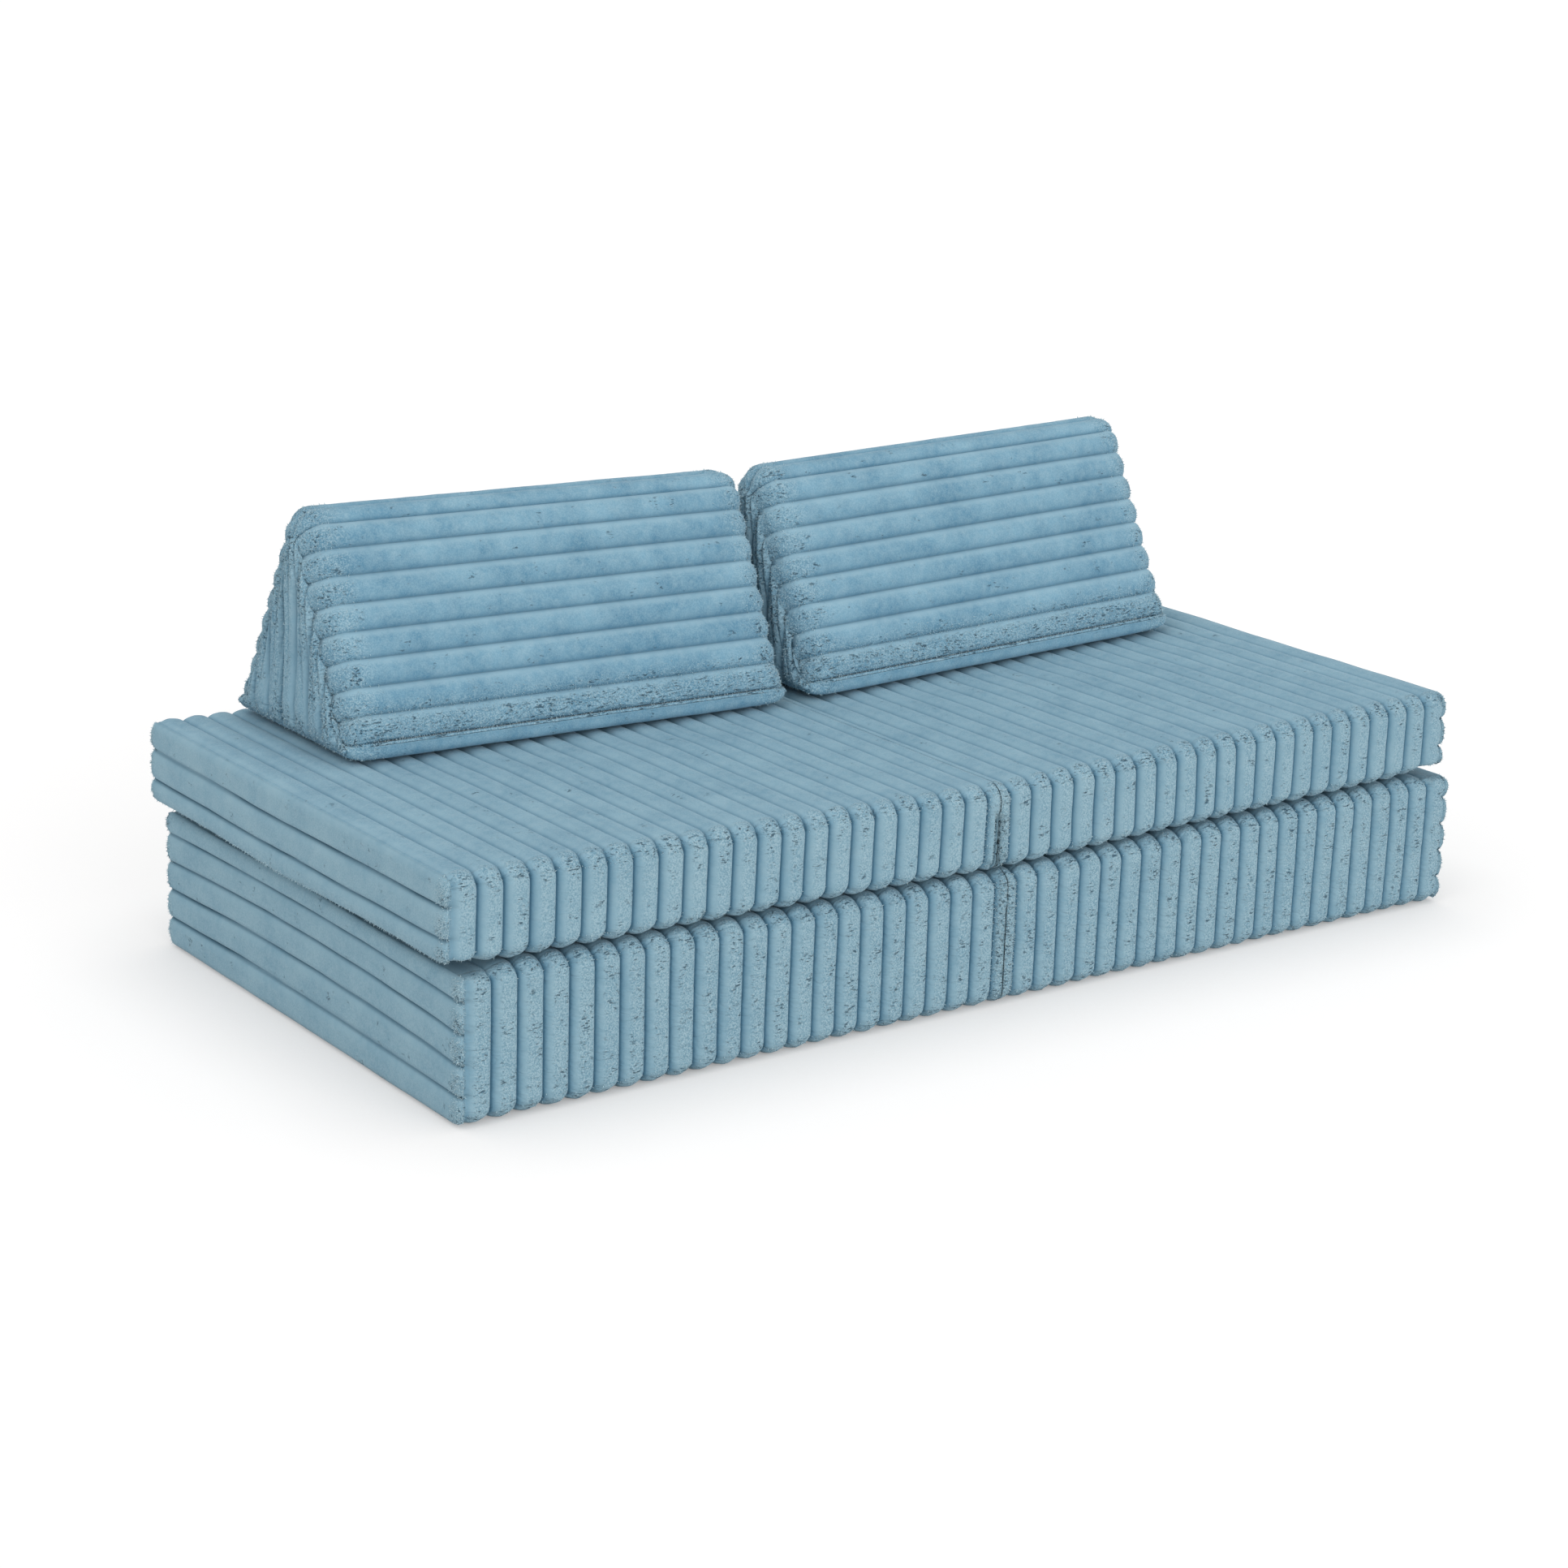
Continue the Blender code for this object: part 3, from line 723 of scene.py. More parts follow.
    # Short cracks across the pile, 3.4 mm apart and wider than high, where the fabric bends or is worn
    stretched = add(tree, "ShaderNodeVectorMath", {0: where, 1: (0.4, 1.0, 1.3)}, operation="MULTIPLY")
    streaks = add(tree, "ShaderNodeTexNoise", {
        "Vector": stretched, "Scale": 1 / (3.4 * MM), "Detail": 2.0, "Roughness": 0.6,
    })
    cracks = add(tree, "ShaderNodeMapRange", {"Value": streaks, "From Min": 0.42, "From Max": 0.34})
    spots = add(tree, "ShaderNodeTexNoise", {"Vector": where, "Scale": 1 / (22 * MM), "Detail": 3.0})
    limit = add(tree, "ShaderNodeMapRange", {"Value": wear, "To Min": 0.66, "To Max": 0.3})
    room = add(tree, "ShaderNodeMath", {0: spots, 1: limit}, operation="SUBTRACT")
    chance = add(tree, "ShaderNodeMath", {0: room, 1: 9.0}, operation="MULTIPLY", use_clamp=True)
    for factor in (chance, crushed):
        cracks = add(tree, "ShaderNodeMath", {0: cracks, 1: factor}, operation="MULTIPLY")
    # Painted shade in the cracks
    crack_shade = add(tree, "ShaderNodeMath", {0: cracks, 1: 0.8}, operation="MULTIPLY")
    # Each finish lies over the one before; standing tufts are painted paler, a painted highlight
    for share, colour in (
        (cloudy, "#98b5c2"), (edge, "#a6c4d0"), (pit_shade, "#557f95"), (clump_highlight, "#aec8d1"), (depth, "#4d7e99"),
        (bottom, "#33566a"), (crevice_shade, "#2b4757"), (crack_shade, "#2c5268"), (tuft, "#b4cdd5"),
    ):
        nap = add(tree, "ShaderNodeMix", {"Factor": share, 6: nap, 7: linear(colour)}, data_type="RGBA")
    tree.links.new(nap.outputs[2], shader.inputs["Base Color"])
    # Wrinkles across the ribs, 9 mm apart, where the cover is bent or pushed together
    bent = add(tree, "ShaderNodeMapRange", {"Value": wear, "From Min": 0.25, "From Max": 0.75})
    folds = add(tree, "ShaderNodeTexNoise", {
        "Vector": stretched, "Scale": 1 / (9 * MM), "Detail": 1.0, "Distortion": 0.6,
    })
    folds = add(tree, "ShaderNodeMath", {0: folds, 1: bent}, operation="MULTIPLY")
    relief = add(tree, "ShaderNodeMath", {0: pile, 1: rough_nap}, operation="MULTIPLY")
    fine = add(tree, "ShaderNodeBump", {"Height": relief, "Strength": 0.7, "Distance": 1.8 * MM})
    folded = add(tree, "ShaderNodeBump", {
        "Height": folds, "Normal": fine, "Strength": 1.0, "Distance": 4 * MM,
    })
    worn = add(tree, "ShaderNodeBump", {
        "Height": cracks, "Normal": folded, "Strength": 0.9, "Distance": 2.5 * MM,
    }, invert=True)
    tree.links.new(worn.outputs[0], shader.inputs["Normal"])
    shader.inputs["Roughness"].default_value = 0.95
    shader.inputs["Specular IOR Level"].default_value = 0.15
    shader.inputs["Sheen Weight"].default_value = 0.2
    shader.inputs["Sheen Roughness"].default_value = 0.45
    shader.inputs["Sheen Tint"].default_value = linear("#d6e8f0")
    return material


def tape_material():
    """Woven polyester zip tape: a flat weave of fine ribs, a little glossier than the plush."""
    material, tree, shader, where = new_material("woven polyester tape")
    # Threads of 0.4 mm are drawn at 1.2 mm, so that they show
    warp, weft = (
        add(tree, "ShaderNodeTexWave", {"Vector": where, "Scale": 1 / (7.5 * MM)}, bands_direction=direction)
        for direction in ("X", "Z")
    )
    weave = add(tree, "ShaderNodeMath", {
        0: warp.outputs["Fac"], 1: weft.outputs["Fac"],
    }, operation="MULTIPLY")
    wear = add(tree, "ShaderNodeTexNoise", {"Vector": where, "Scale": 1 / (20 * MM), "Detail": 3.0})
    tone = add(tree, "ShaderNodeMath", {0: weave, 1: 0.6, 2: wear}, operation="MULTIPLY_ADD")
    colour = add(tree, "ShaderNodeMix", {
        "Factor": tone, 6: linear("#486f86"), 7: linear("#6d96ac"),
    }, data_type="RGBA")
    tree.links.new(colour.outputs[2], shader.inputs["Base Color"])
    bump = add(tree, "ShaderNodeBump", {"Height": weave, "Strength": 0.5, "Distance": 0.4 * MM})
    tree.links.new(bump.outputs[0], shader.inputs["Normal"])
    shader.inputs["Roughness"].default_value = 0.75
    return material


def coil_material():
    """Moulded nylon zip coil: smooth, slightly glossy plastic."""
    material, tree, shader, where = new_material("moulded nylon coil")
    mottle = add(tree, "ShaderNodeTexNoise", {"Vector": where, "Scale": 1 / (4 * MM), "Detail": 2.0})
    colour = add(tree, "ShaderNodeMix", {
        "Factor": mottle, 6: linear("#5d879d"), 7: linear("#7ba3b7"),
    }, data_type="RGBA")
    tree.links.new(colour.outputs[2], shader.inputs["Base Color"])
    shader.inputs["Roughness"].default_value = 0.38
    shader.inputs["IOR"].default_value = 1.53
    return material


def slider_material():
    """Die-cast zinc slider, nickel plated and tumbled: a satin metal with small handling marks."""
    material, tree, shader, where = new_material("nickel-plated zinc")
    marks = add(tree, "ShaderNodeTexNoise", {"Vector": where, "Scale": 1 / (1.5 * MM), "Detail": 4.0})
    rough = add(tree, "ShaderNodeMapRange", {"Value": marks, "To Min": 0.22, "To Max": 0.42})
    colour = add(tree, "ShaderNodeMix", {
        "Factor": marks, 6: linear("#a9a8a2"), 7: linear("#c9c7c0"),
    }, data_type="RGBA")
    tree.links.new(colour.outputs[2], shader.inputs["Base Color"])
    tree.links.new(rough.outputs[0], shader.inputs["Roughness"])
    shader.inputs["Metallic"].default_value = 1.0
    return material


def foam_material():
    """Cut polyurethane foam: pale cream, matt, with open cells."""
    material, tree, shader, where = new_material("cut polyurethane foam")
    # Cells of 0.5 mm are drawn at 1.5 mm, so that they show
    cells = add(tree, "ShaderNodeTexVoronoi", {"Vector": where, "Scale": 1 / (1.5 * MM)})
    colour = add(tree, "ShaderNodeMix", {
        "Factor": cells, 6: linear("#e3dfd2"), 7: linear("#c3bda9"),
    }, data_type="RGBA")
    tree.links.new(colour.outputs[2], shader.inputs["Base Color"])
    bump = add(tree, "ShaderNodeBump", {"Height": cells, "Strength": 0.4, "Distance": 0.5 * MM}, invert=True)
    tree.links.new(bump.outputs[0], shader.inputs["Normal"])
    shader.inputs["Roughness"].default_value = 0.95
    return material


def floor_material():
    """Plain white studio floor: it keeps the object's shadow, and is white where the light is whole."""
    material = bpy.data.materials.new("plain white floor")
    material.use_nodes = True
    tree = material.node_tree
    tree.nodes.clear()
    ray = add(tree, "ShaderNodeLightPath")
    plain = add(tree, "ShaderNodeBsdfDiffuse", {"Color": (0.75, 0.75, 0.75, 1)})
    shaded = add(tree, "ShaderNodeBsdfDiffuse", {"Color": (0.5, 0.494, 0.49, 1)})
    # The contact shadow fades out within 0.2 m, as in the photograph
    near = add(tree, "ShaderNodeAmbientOcclusion", {"Distance": 0.2}, samples=8)
    strength = add(tree, "ShaderNodeMapRange", {"Value": near.outputs["AO"], "To Min": 0.26, "To Max": 0.57})
    glow = add(tree, "ShaderNodeEmission", {"Color": (1, 1, 1, 1), "Strength": strength})
    seen = add(tree, "ShaderNodeAddShader", {0: shaded, 1: glow})
    both = add(tree, "ShaderNodeMixShader", {0: ray.outputs["Is Camera Ray"], 1: plain, 2: seen})
    add(tree, "ShaderNodeOutputMaterial", {"Surface": both})
    return material


plush = plush_material()
tape = tape_material()
coil = coil_material()
slider = slider_material()
foam = foam_material()
ribs = rib_tree()
tufts = tuft_tree()
teeth = coil_tree()


# Covers


def finish_cover(name, side, place, shape, fields, seed, left_flank):
    """Mirror a cover to its side, put it in its place, and grow its ribs and its tufts.

    Each field is its values on the rings and on the two end panels."""
    looks = {label: gather(shape, *values) for label, values in fields.items()}
    faces = shell_faces(shape)[0]
    if side < 0:
        faces = [face[::-1] for face in faces]
    flip = np.array((side, 1, 1))
    turn = np.array(place.to_3x3()).T
    points = (looks.pop("points") * flip) @ turn + np.array(place.translation)
    for label in ("outward", "sideways"):
        looks[label] = (looks[label] * flip) @ turn
    cover = mesh_piece(name + "_plush", points, faces, looks)
    grow(cover, ribs, {"Material": plush, "Seed": seed, "Left flank": left_flank})
    grow(cover, tufts, {"Material": plush})
    for label in ("outward", "sideways", "rib_share", "rib_place", "fullness", "slack", "ruffle"):
        cover.data.attributes.remove(cover.data.attributes[label])
    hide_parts(name + "_cover")
    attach(cover, name)


def straight(axis, length=1.0):
    """One direction for every point of an end panel."""
    direction = np.zeros((1, 1, 3))
    direction[..., axis] = length
    return direction


# Mattress covers

mattress_rows = (3 * MM, 11 * MM, 120 * MM)
mattress_probe_count = 2001
coarse_mattress_counts = (48, 45, 13)
mattress_seed_step = 3.7
top_depth_share = 0.75
base_gape_share = 0.2
seat_bow_share = -0.3
seat_front_rise = 2.5 * MM
end_roll_drop = 10 * MM
wedge_length = 520 * MM
wedge_place = 20 * MM
tip_notch = 6 * MM
tip_fullness = 2.0
end_groove_bow = 12 * MM
back_corner_radius = 27 * MM
fold_gape = 10 * MM
rib_lean = 1.4

# Bands in which a look rises from nothing to all. These are measured from the fold:
calm_fold = (0, 60 * MM)
gape_band = (7 * MM, 1 * MM)
crushed_fold = (24 * MM, 13 * MM)
wander_from_fold = (0, 30 * MM)
# these from the outer end:
last_roll = (90 * MM, 22 * MM)
tip_band = (groove_depth + 16 * MM, groove_depth)
end_rim = (groove_depth + 6 * MM, groove_depth)
wander_from_end = (9 * MM, 30 * MM)
fringe_band = (25 * MM, 12 * MM)
shaded_end = (50 * MM, 26 * MM)
# and these from the front, from the middle of the depth, from its front and back, and from the bottom:
shaded_front = (90 * MM, 30 * MM)
front_rise_band = (-30 * MM, 60 * MM)
back_corner_band = (0, half_depth - 80 * MM)
panel_tips = (34 * MM, 10 * MM)
panel_fringe = (16 * MM, 6 * MM)


def mattress_shape(height, stations, across, up):
    """A mattress half's smooth shape; its top rises from the fold by the sag where the base has one."""
    fold_height, outer_height = height
    sections = []
    for u in stations:
        level = fold_height + (outer_height - fold_height) * u / half_length
        sections.append(trace_loop(mattress_sides(level), (across, up, across, up)))
    loop = np.concatenate([across[:-1], 1 + up[:-1], 2 + across[:-1], 3 + up[:-1], [4]])
    return shell(stations, sections, loop, len(up) - 1, across, up)


def ribbed_mattress_shape(height, end_ribs):
    """A mattress half's shape with its rows of points along its ribs, and the place in ribs of each row."""
    ribbed_length = half_length - groove_depth - fold_gap / 2
    whole_ribs = round(ribbed_length / rib_pitch - 0.5)
    width = ribbed_length / (whole_ribs + 0.5)
    places = rib_stations(whole_ribs + 1, steps_per_rib, 0.5)
    stations = fold_gap / 2 + (places - 0.5) * width
    flat_length = mattress_depth - 2 * mattress_corner_radius + mattress_corner_radius * math.pi / 2
    across = graded(flat_length, *mattress_rows)
    probe = np.linspace(0, 1, mattress_probe_count)
    probe_level = trace(mattress_sides(height[1])[1], probe)[0][:, 1]
    levels = rib_stations(end_ribs, steps_per_end_rib) * height[1] / end_ribs
    levels = levels[(levels > probe_level[0] + MM) & (levels < probe_level[-1] - MM)]
    up = np.concatenate([[0], np.interp(levels, probe_level, probe), [1]])
    return mattress_shape(height, stations, across, up), places


def mattress_spots(shape, height, is_base):
    """Where things happen on a mattress half's rings, each as a share from nothing to all."""
    across, up = shape["outward"][..., 1], shape["outward"][..., 2]
    depth, level = shape["rings"][..., 1], shape["rings"][..., 2]
    from_fold = shape["u"][:, None]
    from_end = half_length - from_fold
    # Base and seat meet, and part again at their last rolls, most in two places
    met = up if is_base else -up
    meeting = smooth(0.3, 1, met)
    wedges = 0.5 + 0.5 * np.abs(np.sin(np.pi * (depth - wedge_place) / wedge_length))
    low_down = smooth(0.72, 0.6, level / height[1])
    gape = smooth(*gape_band, from_fold) * smooth(0.3, 0.8, -across) * low_down
    zipped = over_zip(np.abs(level - height[0] / 2), np.abs(from_fold - half_length / 2), half_length)
    return SimpleNamespace(
        from_fold=from_fold,
        from_end=from_end,
        meeting=meeting,
        touching=smooth(0.85, 1, met),
        apart=wedges * meeting * smooth(*last_roll, from_end),
        gape=gape * (base_gape_share if is_base else 1.0),
        sunk=zipped * smooth(0.7, 0.9, across),
        on_front=smooth(0.5, 0.9, -across),
        at_tips=smooth(*tip_band, from_end) * smooth(0.5, 0.9, np.abs(across)),
        beside_fold=smooth(*crushed_fold, from_fold),
        top_seen=smooth(0.5, 1, up) * (0.0 if is_base else 1.0),
        bend=shape["bend"],
    )


def mattress_rings(shape, shift, spots, outer_height, end_ribs):
    """The rings of a mattress cover, swollen by its stuffing and drawn in where they are on the real one."""
    rings, outward = shape["rings"], shape["outward"]
    # What rests on something stays flat, and the two ends at the fold stay clear of each other
    from_fold_share = smooth(*calm_fold, spots.from_fold)
    lift = held_out((shift * outward).sum(-1))
    lift = lift * (1 - np.abs(outward[..., 2])) * (0.3 + 0.7 * from_fold_share)
    # The seat's top stands a little higher before the bolsters
    arch = np.sin(np.pi * np.clip(spots.from_fold / half_length, 0, 1))
    before = spots.top_seen * smooth(*front_rise_band, -rings[..., 1])
    lift = lift + seat_front_rise * arch * from_fold_share * before
    # The end panel's ribs notch the upright corners, and the corner at the back is the rounder one
    notch = tip_notch * crease(rings[..., 2] / outer_height * end_ribs, tip_fullness) * spots.at_tips
    past = np.clip(1 - spots.from_end / back_corner_radius, 0, 1)
    turned_in = back_corner_radius * (1 - np.sqrt(1 - past**2)) * smooth(0, 0.9, outward[..., 1])
    return rings + outward * (lift - end_roll_drop * spots.apart - notch - turned_in)[..., None]


def round_mattress_panel(panel, rim, shift, outer_height, end_ribs, groove_bow):
    """Round a mattress's end panel in place; its roundness, its place in ribs and how near its tips are."""
    edge = outline_distance(panel, rim)
    backward = smooth(*back_corner_band, panel[..., 1])
    edge_round = panel_edge_round + (back_corner_radius - 2 * panel_edge_round) * backward
    dome = quarter_round(edge / edge_round)
    # Each rib of the panel hangs a little over the one below, and its grooves are bowed
    rib = np.clip(panel[..., 2] / outer_height * end_ribs, 0, end_ribs - 1e-6)
    rib = np.floor(rib) + (rib - np.floor(rib)) ** 0.75
    bow = np.cos(np.pi / 2 * np.clip(panel[..., 1] / half_depth, -1, 1))
    bow = bow * np.sin(np.pi * np.clip(panel[..., 2] / outer_height, 0, 1))
    tips = smooth(*panel_tips, half_depth - np.abs(panel[..., 1]))
    panel[..., 0] += groove_depth * dome + held_out(shift[..., 0]) * smooth(*panel_calm, edge)
    panel[..., 2] += groove_bow * bow
    return dome, rib, tips


def leaning_ribs(places, side, outward):
    """The place in ribs round each row: on the front each rib leans over its right-hand neighbour."""
    whole = np.floor(places)
    within = places - whole
    leaning = within**rib_lean if side > 0 else 1 - (1 - within) ** rib_lean
    return places[:, None] + (leaning - within)[:, None] * smooth(0.3, 0.9, -outward[..., 1])


def make_mattress_half(name, side, height, place, end_ribs, is_base):
    """The plush cover of one mattress half."""
    outer_height = height[1]
    shape, places = ribbed_mattress_shape(height, end_ribs)
    along, across, up = coarse_mattress_counts
    coarse_stations = np.linspace(fold_gap / 2, half_length - groove_depth, along)
    coarse = mattress_shape(height, coarse_stations, np.linspace(0, 1, across), np.linspace(0, 1, up))
    ring_shift, panel_shifts = swelling(shape, coarse)
    spots = mattress_spots(shape, height, is_base)
    outward = shape["outward"]
    rings = mattress_rings(shape, ring_shift, spots, outer_height, end_ribs)
    fold_panel, panel = end_panels(shape, rings)
    bow = end_groove_bow * (1.0 if is_base else seat_bow_share)
    dome, panel_rib, tips = round_mattress_panel(
        panel, rings[-1], panel_shifts[1], outer_height, end_ribs, bow,
    )
    # The cover gapes at the fold, low down on the front, and sinks to its zip at the back
    rings = rings - outward * (fold_gape * spots.gape)[..., None]
    zip_floor = half_depth - mattress_zip_depth + zip_floor_rise
    rings[..., 1] = rings[..., 1] * (1 - spots.sunk) + zip_floor * spots.sunk
    share = 1 + (top_depth_share - 1) * spots.top_seen + 0.12 * spots.bend
    share = share * (1 - 0.5 * smooth(*end_rim, spots.from_end)) * (1 - 0.9 * spots.apart) * (1 - spots.sunk)
    fullness = front_fullness + (top_fullness - front_fullness) * smooth(0.3, 1, np.abs(outward[..., 2]))
    # Pile is matted at the bends, on the front of the base and beside the fold
    fold_wear = spots.beside_fold * spots.on_front
    wear = np.maximum(0.1 + 0.8 * spots.bend, spots.on_front * (0.5 if is_base else 0.36))
    wear = np.maximum(wear, fold_wear * (1.0 if is_base else 0.7)) * (1 - spots.sunk)
    panel_wear = 0.12 + 0.45 * tips
    # It stands up at the rib tips, the fold, the front bends and the lower edge of the seat's end
    fringe = smooth(*fringe_band, spots.from_end) * spots.meeting * (0.0 if is_base else 0.4)
    ruffle = np.maximum(0.12 * spots.bend * spots.on_front + 0.6 * fold_wear, fringe) * (1 - spots.sunk)
    panel_ruffle = smooth(0.2, 0.55, panel_wear) * 0.6
    if not is_base:
        panel_ruffle = np.maximum(panel_ruffle, smooth(*panel_fringe, panel[..., 2]) * 0.5)
    # Painted shade where seat and base press on each other along the rim, and in the end panel's grooves
    end_gap_shade = 0.5 * spots.meeting * smooth(*shaded_end, spots.from_end)
    front_gap_shade = 0.37 * spots.touching * smooth(*shaded_front, rings[..., 1] + half_depth)
    panel_groove_shade = crease(panel_rib, panel_fullness) * smooth(0.3, 0.8, dome**0.5)
    # Its grooves wander, but not at the fold, the end or the zip
    wander = smooth(*wander_from_fold, spots.from_fold) * smooth(*wander_from_end, spots.from_end)
    wander = wander * (1 - spots.sunk)
    finish_cover(name, side, place, shape, {
        "points": (rings, fold_panel, panel),
        "rib_share": (share, 0, dome**0.5),
        "rib_place": (leaning_ribs(places, side, outward), 0.5, panel_rib),
        "wear": (np.clip(wear, 0, 1), 0.2, np.clip(panel_wear, 0, 1)),
        "fullness": (fullness - 0.8 * spots.bend, panel_fullness, panel_fullness),
        # The laid nap's deeper tone on the up-facing top is painted shade
        "laid_nap_and_shade": (0.4 * smooth(0.3, 1, outward[..., 2]), 0.1, 0.1),
        "slack": (2, 2, 2),
        "ruffle": (ruffle, 0, panel_ruffle),
        "painted_crevice_shade": (np.maximum(end_gap_shade, front_gap_shade), 0, panel_groove_shade),
        "outward": (outward, straight(0, -1), straight(0)),
        "sideways": (wander[..., None] * straight(0), straight(2, 0), straight(2)),
    }, side * mattress_seed_step + len(name), side)


# Bolster covers

bolster_rows = (2.5 * MM, 7 * MM, 90 * MM)
bolster_panel_rows = (5 * MM, 9 * MM, 60 * MM)
bolster_probe_count = 4001
coarse_bolster_counts = (48, 41, 17)
plain_strip_rows = 8
bolster_seed_step = 2.3
bolster_end_round = 34 * MM
bolster_drawn_in = (0, 60 * MM)
bolster_depth_share = 0.95
bolster_end_share = 0.55
bolster_end_notch = 8 * MM
plain_strip_drop = 4 * MM
crevice_rib = 5
# Bands in which a look rises from nothing to all, measured from the ends, up the end, and from its edge
full_ribs = (5 * MM, 60 * MM)
matted_end = (70 * MM, 15 * MM)
notch_band = (34 * MM, 0)
crevice_band = (230 * MM, 170 * MM)
matted_edge = (40 * MM, 8 * MM)


def under_shares(across_over):
    """Shares along a bolster's underside, straight below those along its upper side."""
    under, over = bolster_sides()
    probe = np.linspace(0, 1, bolster_probe_count)
    shares = np.interp(trace(over, across_over)[0][::-1, 0], trace(under, probe)[0][:, 0], probe)
    shares[0], shares[-1] = 0, 1
    return shares


def bolster_shape(stations, across_over, up):
    """A bolster's smooth shape: rounded triangles along it, drawn in a little at both ends."""
    across_under = under_shares(across_over)
    points, outward, bend = trace_loop(bolster_sides(), (across_under, across_over))
    drawn = 0.35 + 0.65 * smooth(*bolster_drawn_in, points[:, 1])
    sections = []
    for u in stations:
        turn = 1 - quarter_round(min(u - stations[0], stations[-1] - u) / bolster_end_round)
        sections.append((points - outward * (turn * bolster_end_round * drawn)[:, None], outward, bend))
    loop = np.concatenate([across_under[:-1], 1 + across_over[:-1], [2]])
    return shell(stations, sections, loop, 0, 1 - across_over[::-1], up)


def ribbed_bolster_shape():
    """A bolster's shape with rows of points along its ribs, each row's place in ribs, and their count."""
    over = bolster_sides()[1]
    probe = np.linspace(0, 1, bolster_probe_count)
    points, outward, _ = trace(over, probe)
    total = np.linalg.norm(np.diff(points, axis=0), axis=1).sum()
    # The ribs run from the back seam over the apex to the front seam, and a plain strip lies below each seam
    front = bolster_probe_count // 10
    facing = np.unwrap(np.arctan2(outward[:, 1], outward[:, 0]))
    strip_length = np.interp(math.pi - bolster_seam_angle, facing[:front], probe[:front]) * total
    ribbed = total - 2 * strip_length
    count = round(ribbed / rib_pitch)
    places = rib_stations(count, steps_per_rib)
    strip = np.arange(plain_strip_rows) / plain_strip_rows
    lengths = np.concatenate([
        strip * strip_length, strip_length + places * ribbed / count, total - strip[::-1] * strip_length,
    ])
    places = np.concatenate([0.5 * strip - 0.5, places, count + 0.5 * (1 - strip[::-1])])
    reach = bolster_length - groove_depth - groove_depth
    stations = groove_depth + graded(reach, *bolster_rows) * reach
    shape = bolster_shape(stations, lengths / total, graded(bolster_height, *bolster_panel_rows))
    under_count = len(shape["loop"]) - len(places)
    return shape, np.concatenate([np.full(under_count, -0.5), places[:-1]])[None], count


def bolster_zip_spot(sunk):
    """How far back and how high the middle of a bolster's zip is, sunk so far into its back slope."""
    slope = bolster_slope()
    reach = bolster_foot_radius - sunk
    foot = bolster_depth / 2 - bolster_foot_radius
    back = foot + math.cos(slope) * reach - math.sin(slope) * bolster_zip_height
    return back, bolster_foot_radius + math.sin(slope) * reach + math.cos(slope) * bolster_zip_height


def sink_to_bolster_zip(rings, shape):
    """Sink a bolster cover's rings to its zip, in place; how far each point is over the zip."""
    slope = bolster_slope()
    back, level = bolster_zip_spot(0)
    past_back, past_level = shape["rings"][..., 1] - back, shape["rings"][..., 2] - level
    up_slope = past_level * math.cos(slope) - past_back * math.sin(slope)
    off_slope = (rings[..., 1] - back) * math.cos(slope) + (rings[..., 2] - level) * math.sin(slope)
    along = np.abs(shape["u"] - bolster_length / 2)[:, None]
    sunk = over_zip(np.abs(up_slope), along, bolster_length) * smooth(0.5, 0.8, shape["outward"][..., 1])
    sink = sunk * (off_slope + bolster_zip_depth - zip_floor_rise)
    rings[..., 1] -= math.cos(slope) * sink
    rings[..., 2] -= math.sin(slope) * sink
    return sunk


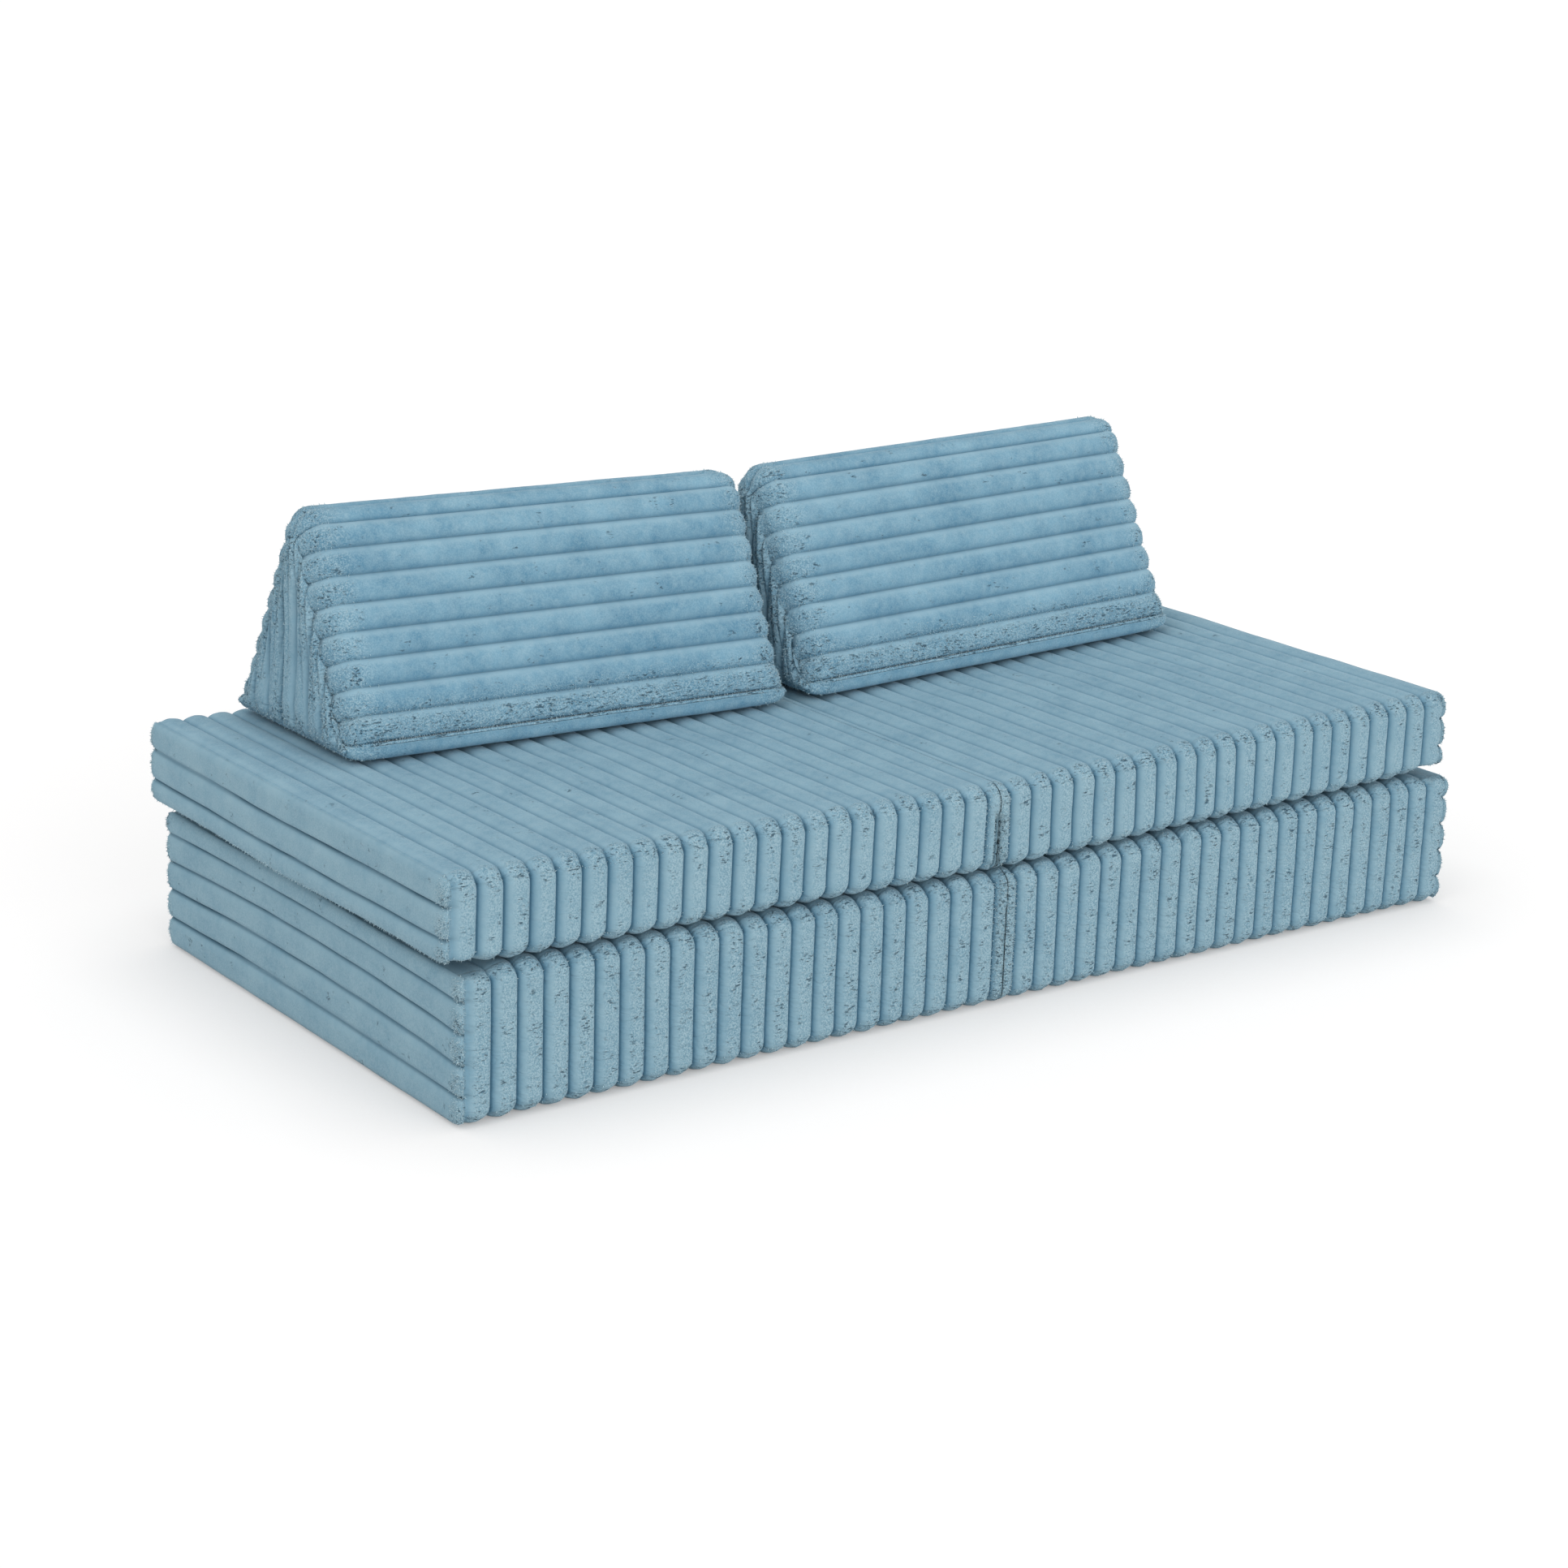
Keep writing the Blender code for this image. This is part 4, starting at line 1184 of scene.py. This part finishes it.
def make_bolster(name, side, place):
    """The plush cover of one bolster: ribs run along it, and stand upright on its ends."""
    shape, rib, count = ribbed_bolster_shape()
    along, over, up = coarse_bolster_counts
    coarse_stations = np.linspace(groove_depth, bolster_length - groove_depth, along)
    coarse = bolster_shape(coarse_stations, np.linspace(0, 1, over), np.linspace(0, 1, up))
    ring_shift, panel_shifts = swelling(shape, coarse)
    outward, u = shape["outward"], shape["u"]
    from_end = np.minimum(u - groove_depth, bolster_length - groove_depth - u)[:, None]
    lift = held_out((ring_shift * outward).sum(-1)) * smooth(-0.7, 0.1, outward[..., 2])
    rings = shape["rings"] + outward * lift[..., None]
    # The ribs' rounded ends scallop both edges of each end
    above = np.arange(rib.size) >= shape["grid"].shape[1] - 1
    scallop = bolster_end_notch * crease(np.clip(rib, 0, count), bolster_fullness) * above
    rings[..., 0] += scallop * smooth(*notch_band, from_end) * np.sign(bolster_length / 2 - u)[:, None]
    # Below the seams the cover is plain, and a little behind the ribs
    plain = smooth(0, 0.25, -rib) + smooth(0, 0.25, rib - count)
    rings = rings - outward * (plain * plain_strip_drop * smooth(-0.9, -0.2, outward[..., 2]))[..., None]
    sunk = sink_to_bolster_zip(rings, shape)
    # The lowest groove in front is a deeper seam above the plain strip, with full painted groove shade
    seam = np.exp(-(((rib - count) / 0.12) ** 2))
    share = bolster_end_share + (bolster_depth_share - bolster_end_share) * smooth(*full_ribs, from_end)
    share = (share * (1 - 0.45 * plain) + 0.35 * seam) * (1 - sunk)
    first_rib = smooth(count - 1.6, count - 0.6, rib)
    near_end = smooth(*matted_end, from_end)
    wear = np.clip(0.13 + 0.42 * near_end + 0.55 * first_rib, 0, 1) * (1 - sunk)
    panels, panel_shares, panel_ribs, panel_wears = end_panels(shape, rings), [], [], []
    for panel, rim, shift, facing in zip(panels, (rings[0], rings[-1]), panel_shifts, (-1, 1)):
        edge = outline_distance(panel, rim)
        dome = quarter_round(edge / panel_edge_round)
        lift = held_out(np.abs(shift[..., 0])) * smooth(*panel_calm, edge)
        panel[..., 0] += facing * (groove_depth * dome + lift)
        panel_rib = (panel[..., 1] / bolster_depth + 0.5) * round(bolster_depth / rib_pitch)
        # One groove, a little behind the middle, is a deep and worn crevice
        crevice = np.exp(-(((panel_rib - crevice_rib) / 0.3) ** 2)) * smooth(*crevice_band, panel[..., 2])
        panel_shares.append(dome * (0.8 + 0.7 * crevice))
        panel_ribs.append(panel_rib)
        panel_wears.append(0.3 + 0.55 * smooth(*matted_edge, edge) + 0.5 * crevice)
    ruffle = (0.3 * first_rib * (1 - plain) + 0.15 * near_end) * (1 - sunk)
    finish_cover(name, side, place, shape, {
        "points": (rings, *panels),
        "rib_share": (share, *panel_shares),
        "rib_place": (np.minimum(np.abs(rib), 2 * count - np.abs(rib)), *panel_ribs),
        "wear": (wear, *np.clip(panel_wears, 0, 1)),
        "fullness": (bolster_fullness, bolster_panel_fullness, bolster_panel_fullness),
        # Laid nap all over the bolster: its deeper tone is partly painted shade, and it brings the painted
        # highlight on the upper rib edges
        "laid_nap_and_shade": (0.75 * (1 - seam), 0.45, 0.45),
        "slack": (2, 8, 8),
        "ruffle": (ruffle, *(0.3 * smooth(0.5, 1, np.array(panel_wears)))),
        "outward": (outward, straight(0, -1), straight(0)),
        "sideways": (straight(0, 0), straight(1), straight(1)),
    }, side * bolster_seed_step + len(name), 1)


# Zips, foams and tapes


def finish_node(node, material):
    """Give a carried-over solid its finish."""
    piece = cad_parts[node]
    for place in piece.material_slots:
        place.material = material
    if not piece.material_slots:
        piece.data.materials.append(material)


def dress_zip(name, zip_place, piece_length):
    """A toothed coil in place of the plain one, and finishes for the rest of the zip and for the foam."""
    coil_piece = mesh_piece(name + "_coil", np.zeros((1, 3)), [], {})
    grow(coil_piece, teeth, {"Length": piece_length - 2 * zip_margin - 2 * coil_end_room, "Material": coil})
    coil_piece.data.transform(zip_place @ Matrix.Translation((0, coil_lift + coil_height / 2, 0)))
    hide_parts(name + "_zip_coil")
    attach(coil_piece, name)
    finish_node(name + "_zip_tape", tape)
    finish_node(name + "_zip_slider", slider)
    finish_node(name + "_foam", foam)


for word, side in sides.items():
    base_spot = Matrix.Translation((base_place, 0, 0))
    make_mattress_half("base_" + word, side, (base_fold_height, base_height), base_spot, base_end_ribs, True)
    zip_middle = Vector((side * half_length / 2, half_depth - mattress_zip_depth, base_fold_height / 2))
    dress_zip("base_" + word, base_spot @ Matrix.Translation(zip_middle), half_length)
    seat_spot = Matrix.Translation((base_place - seat_shift, 0, seat_fold_level))
    seat_spot = seat_spot @ Matrix.Rotation(-side * sag_angle, 4, "Y")
    seat_low = seat_spot @ Matrix.Translation((0, 0, -seat_height))
    make_mattress_half("seat_" + word, side, (seat_height, seat_height), seat_low, seat_end_ribs, False)
    zip_middle.z = -seat_height / 2
    dress_zip("seat_" + word, seat_spot @ Matrix.Translation(zip_middle), half_length)
    stand = (side * bolster_gap / 2, bolster_front + bolster_depth / 2, seat_crown + lay_gap)
    bolster_spot = seat_spot @ Matrix.Translation(stand)
    bolster_spot = bolster_spot @ Matrix.Rotation(bolster_yaw_right if side > 0 else 0, 4, "Z")
    make_bolster("bolster_" + word, side, bolster_spot)
    zip_spot = Matrix.Translation((side * bolster_length / 2, *bolster_zip_spot(bolster_zip_depth)))
    zip_spot = zip_spot @ Matrix.Rotation(bolster_slope(), 4, "X")
    dress_zip("bolster_" + word, bolster_spot @ zip_spot, bolster_length)
finish_node("base_hinge_tape", tape)
finish_node("seat_hinge_tape", tape)


# Floor, light and camera

floor_reach = 30
floor_drop = 0.5 * MM
sky_strength = 0.72
sun_width = math.radians(50)


def towards(azimuth, elevation):
    """The direction to what is seen at an azimuth, from the front, and an elevation."""
    across = math.cos(elevation)
    return Vector((math.sin(azimuth) * across, -math.cos(azimuth) * across, math.sin(elevation)))


def soft_sun(name, azimuth, elevation, strength):
    """Light from one direction, as soft as from a wide box, that is even all over the floor."""
    sun = bpy.data.lights.new(name, "SUN")
    sun.angle = sun_width
    sun.energy = strength
    holder = bpy.data.objects.new(name, sun)
    bpy.context.scene.collection.objects.link(holder)
    holder.rotation_euler = towards(azimuth, elevation).to_track_quat("Z", "Y").to_euler()


floor_corners = np.array(((-1, -1, 0), (1, -1, 0), (1, 1, 0), (-1, 1, 0))) * floor_reach
floor = mesh_piece("floor", floor_corners - (0, 0, floor_drop), [[0, 1, 2, 3]], {})
floor.data.materials.append(floor_material())

world = bpy.data.worlds.new("studio")
bpy.context.scene.world = world
world.use_nodes = True
sky = world.node_tree
sky.nodes.clear()
ray = add(sky, "ShaderNodeLightPath")
direct = add(sky, "ShaderNodeMath", {
    0: ray.outputs["Is Camera Ray"], 1: ray.outputs["Is Glossy Ray"],
}, operation="MAXIMUM")
even_light = add(sky, "ShaderNodeBackground", {"Color": (1, 1, 1, 1), "Strength": sky_strength})
white = add(sky, "ShaderNodeBackground", {"Color": (1, 1, 1, 1), "Strength": 1.0})
lit = add(sky, "ShaderNodeMixShader", {0: direct, 1: even_light, 2: white})
add(sky, "ShaderNodeOutputWorld", {"Surface": lit})

soft_sun("key_light", math.radians(2), math.radians(24), 1.08)
soft_sun("left_light", math.radians(-80), math.radians(40), 0.42)

back = towards(photo_azimuth, photo_elevation)
right = (-back).cross(Vector((0, 0, 1))).normalized()
up = right.cross(-back)
camera_x = right * math.cos(photo_roll) + up * math.sin(photo_roll)
camera_y = -right * math.sin(photo_roll) + up * math.cos(photo_roll)
camera = bpy.data.objects.new("camera", bpy.data.cameras.new("camera"))
bpy.context.scene.collection.objects.link(camera)
camera.data.sensor_width = 36
camera.data.sensor_fit = "HORIZONTAL"
camera.data.lens = camera.data.sensor_width * photo_focal_pixels / photo_pixels
camera.data.clip_end = 100
turn = Matrix((camera_x, camera_y, back)).transposed().to_4x4()
camera.matrix_world = Matrix.Translation(photo_target + back * photo_distance) @ turn
bpy.context.scene.camera = camera
bpy.context.scene.view_settings.view_transform = "Standard"
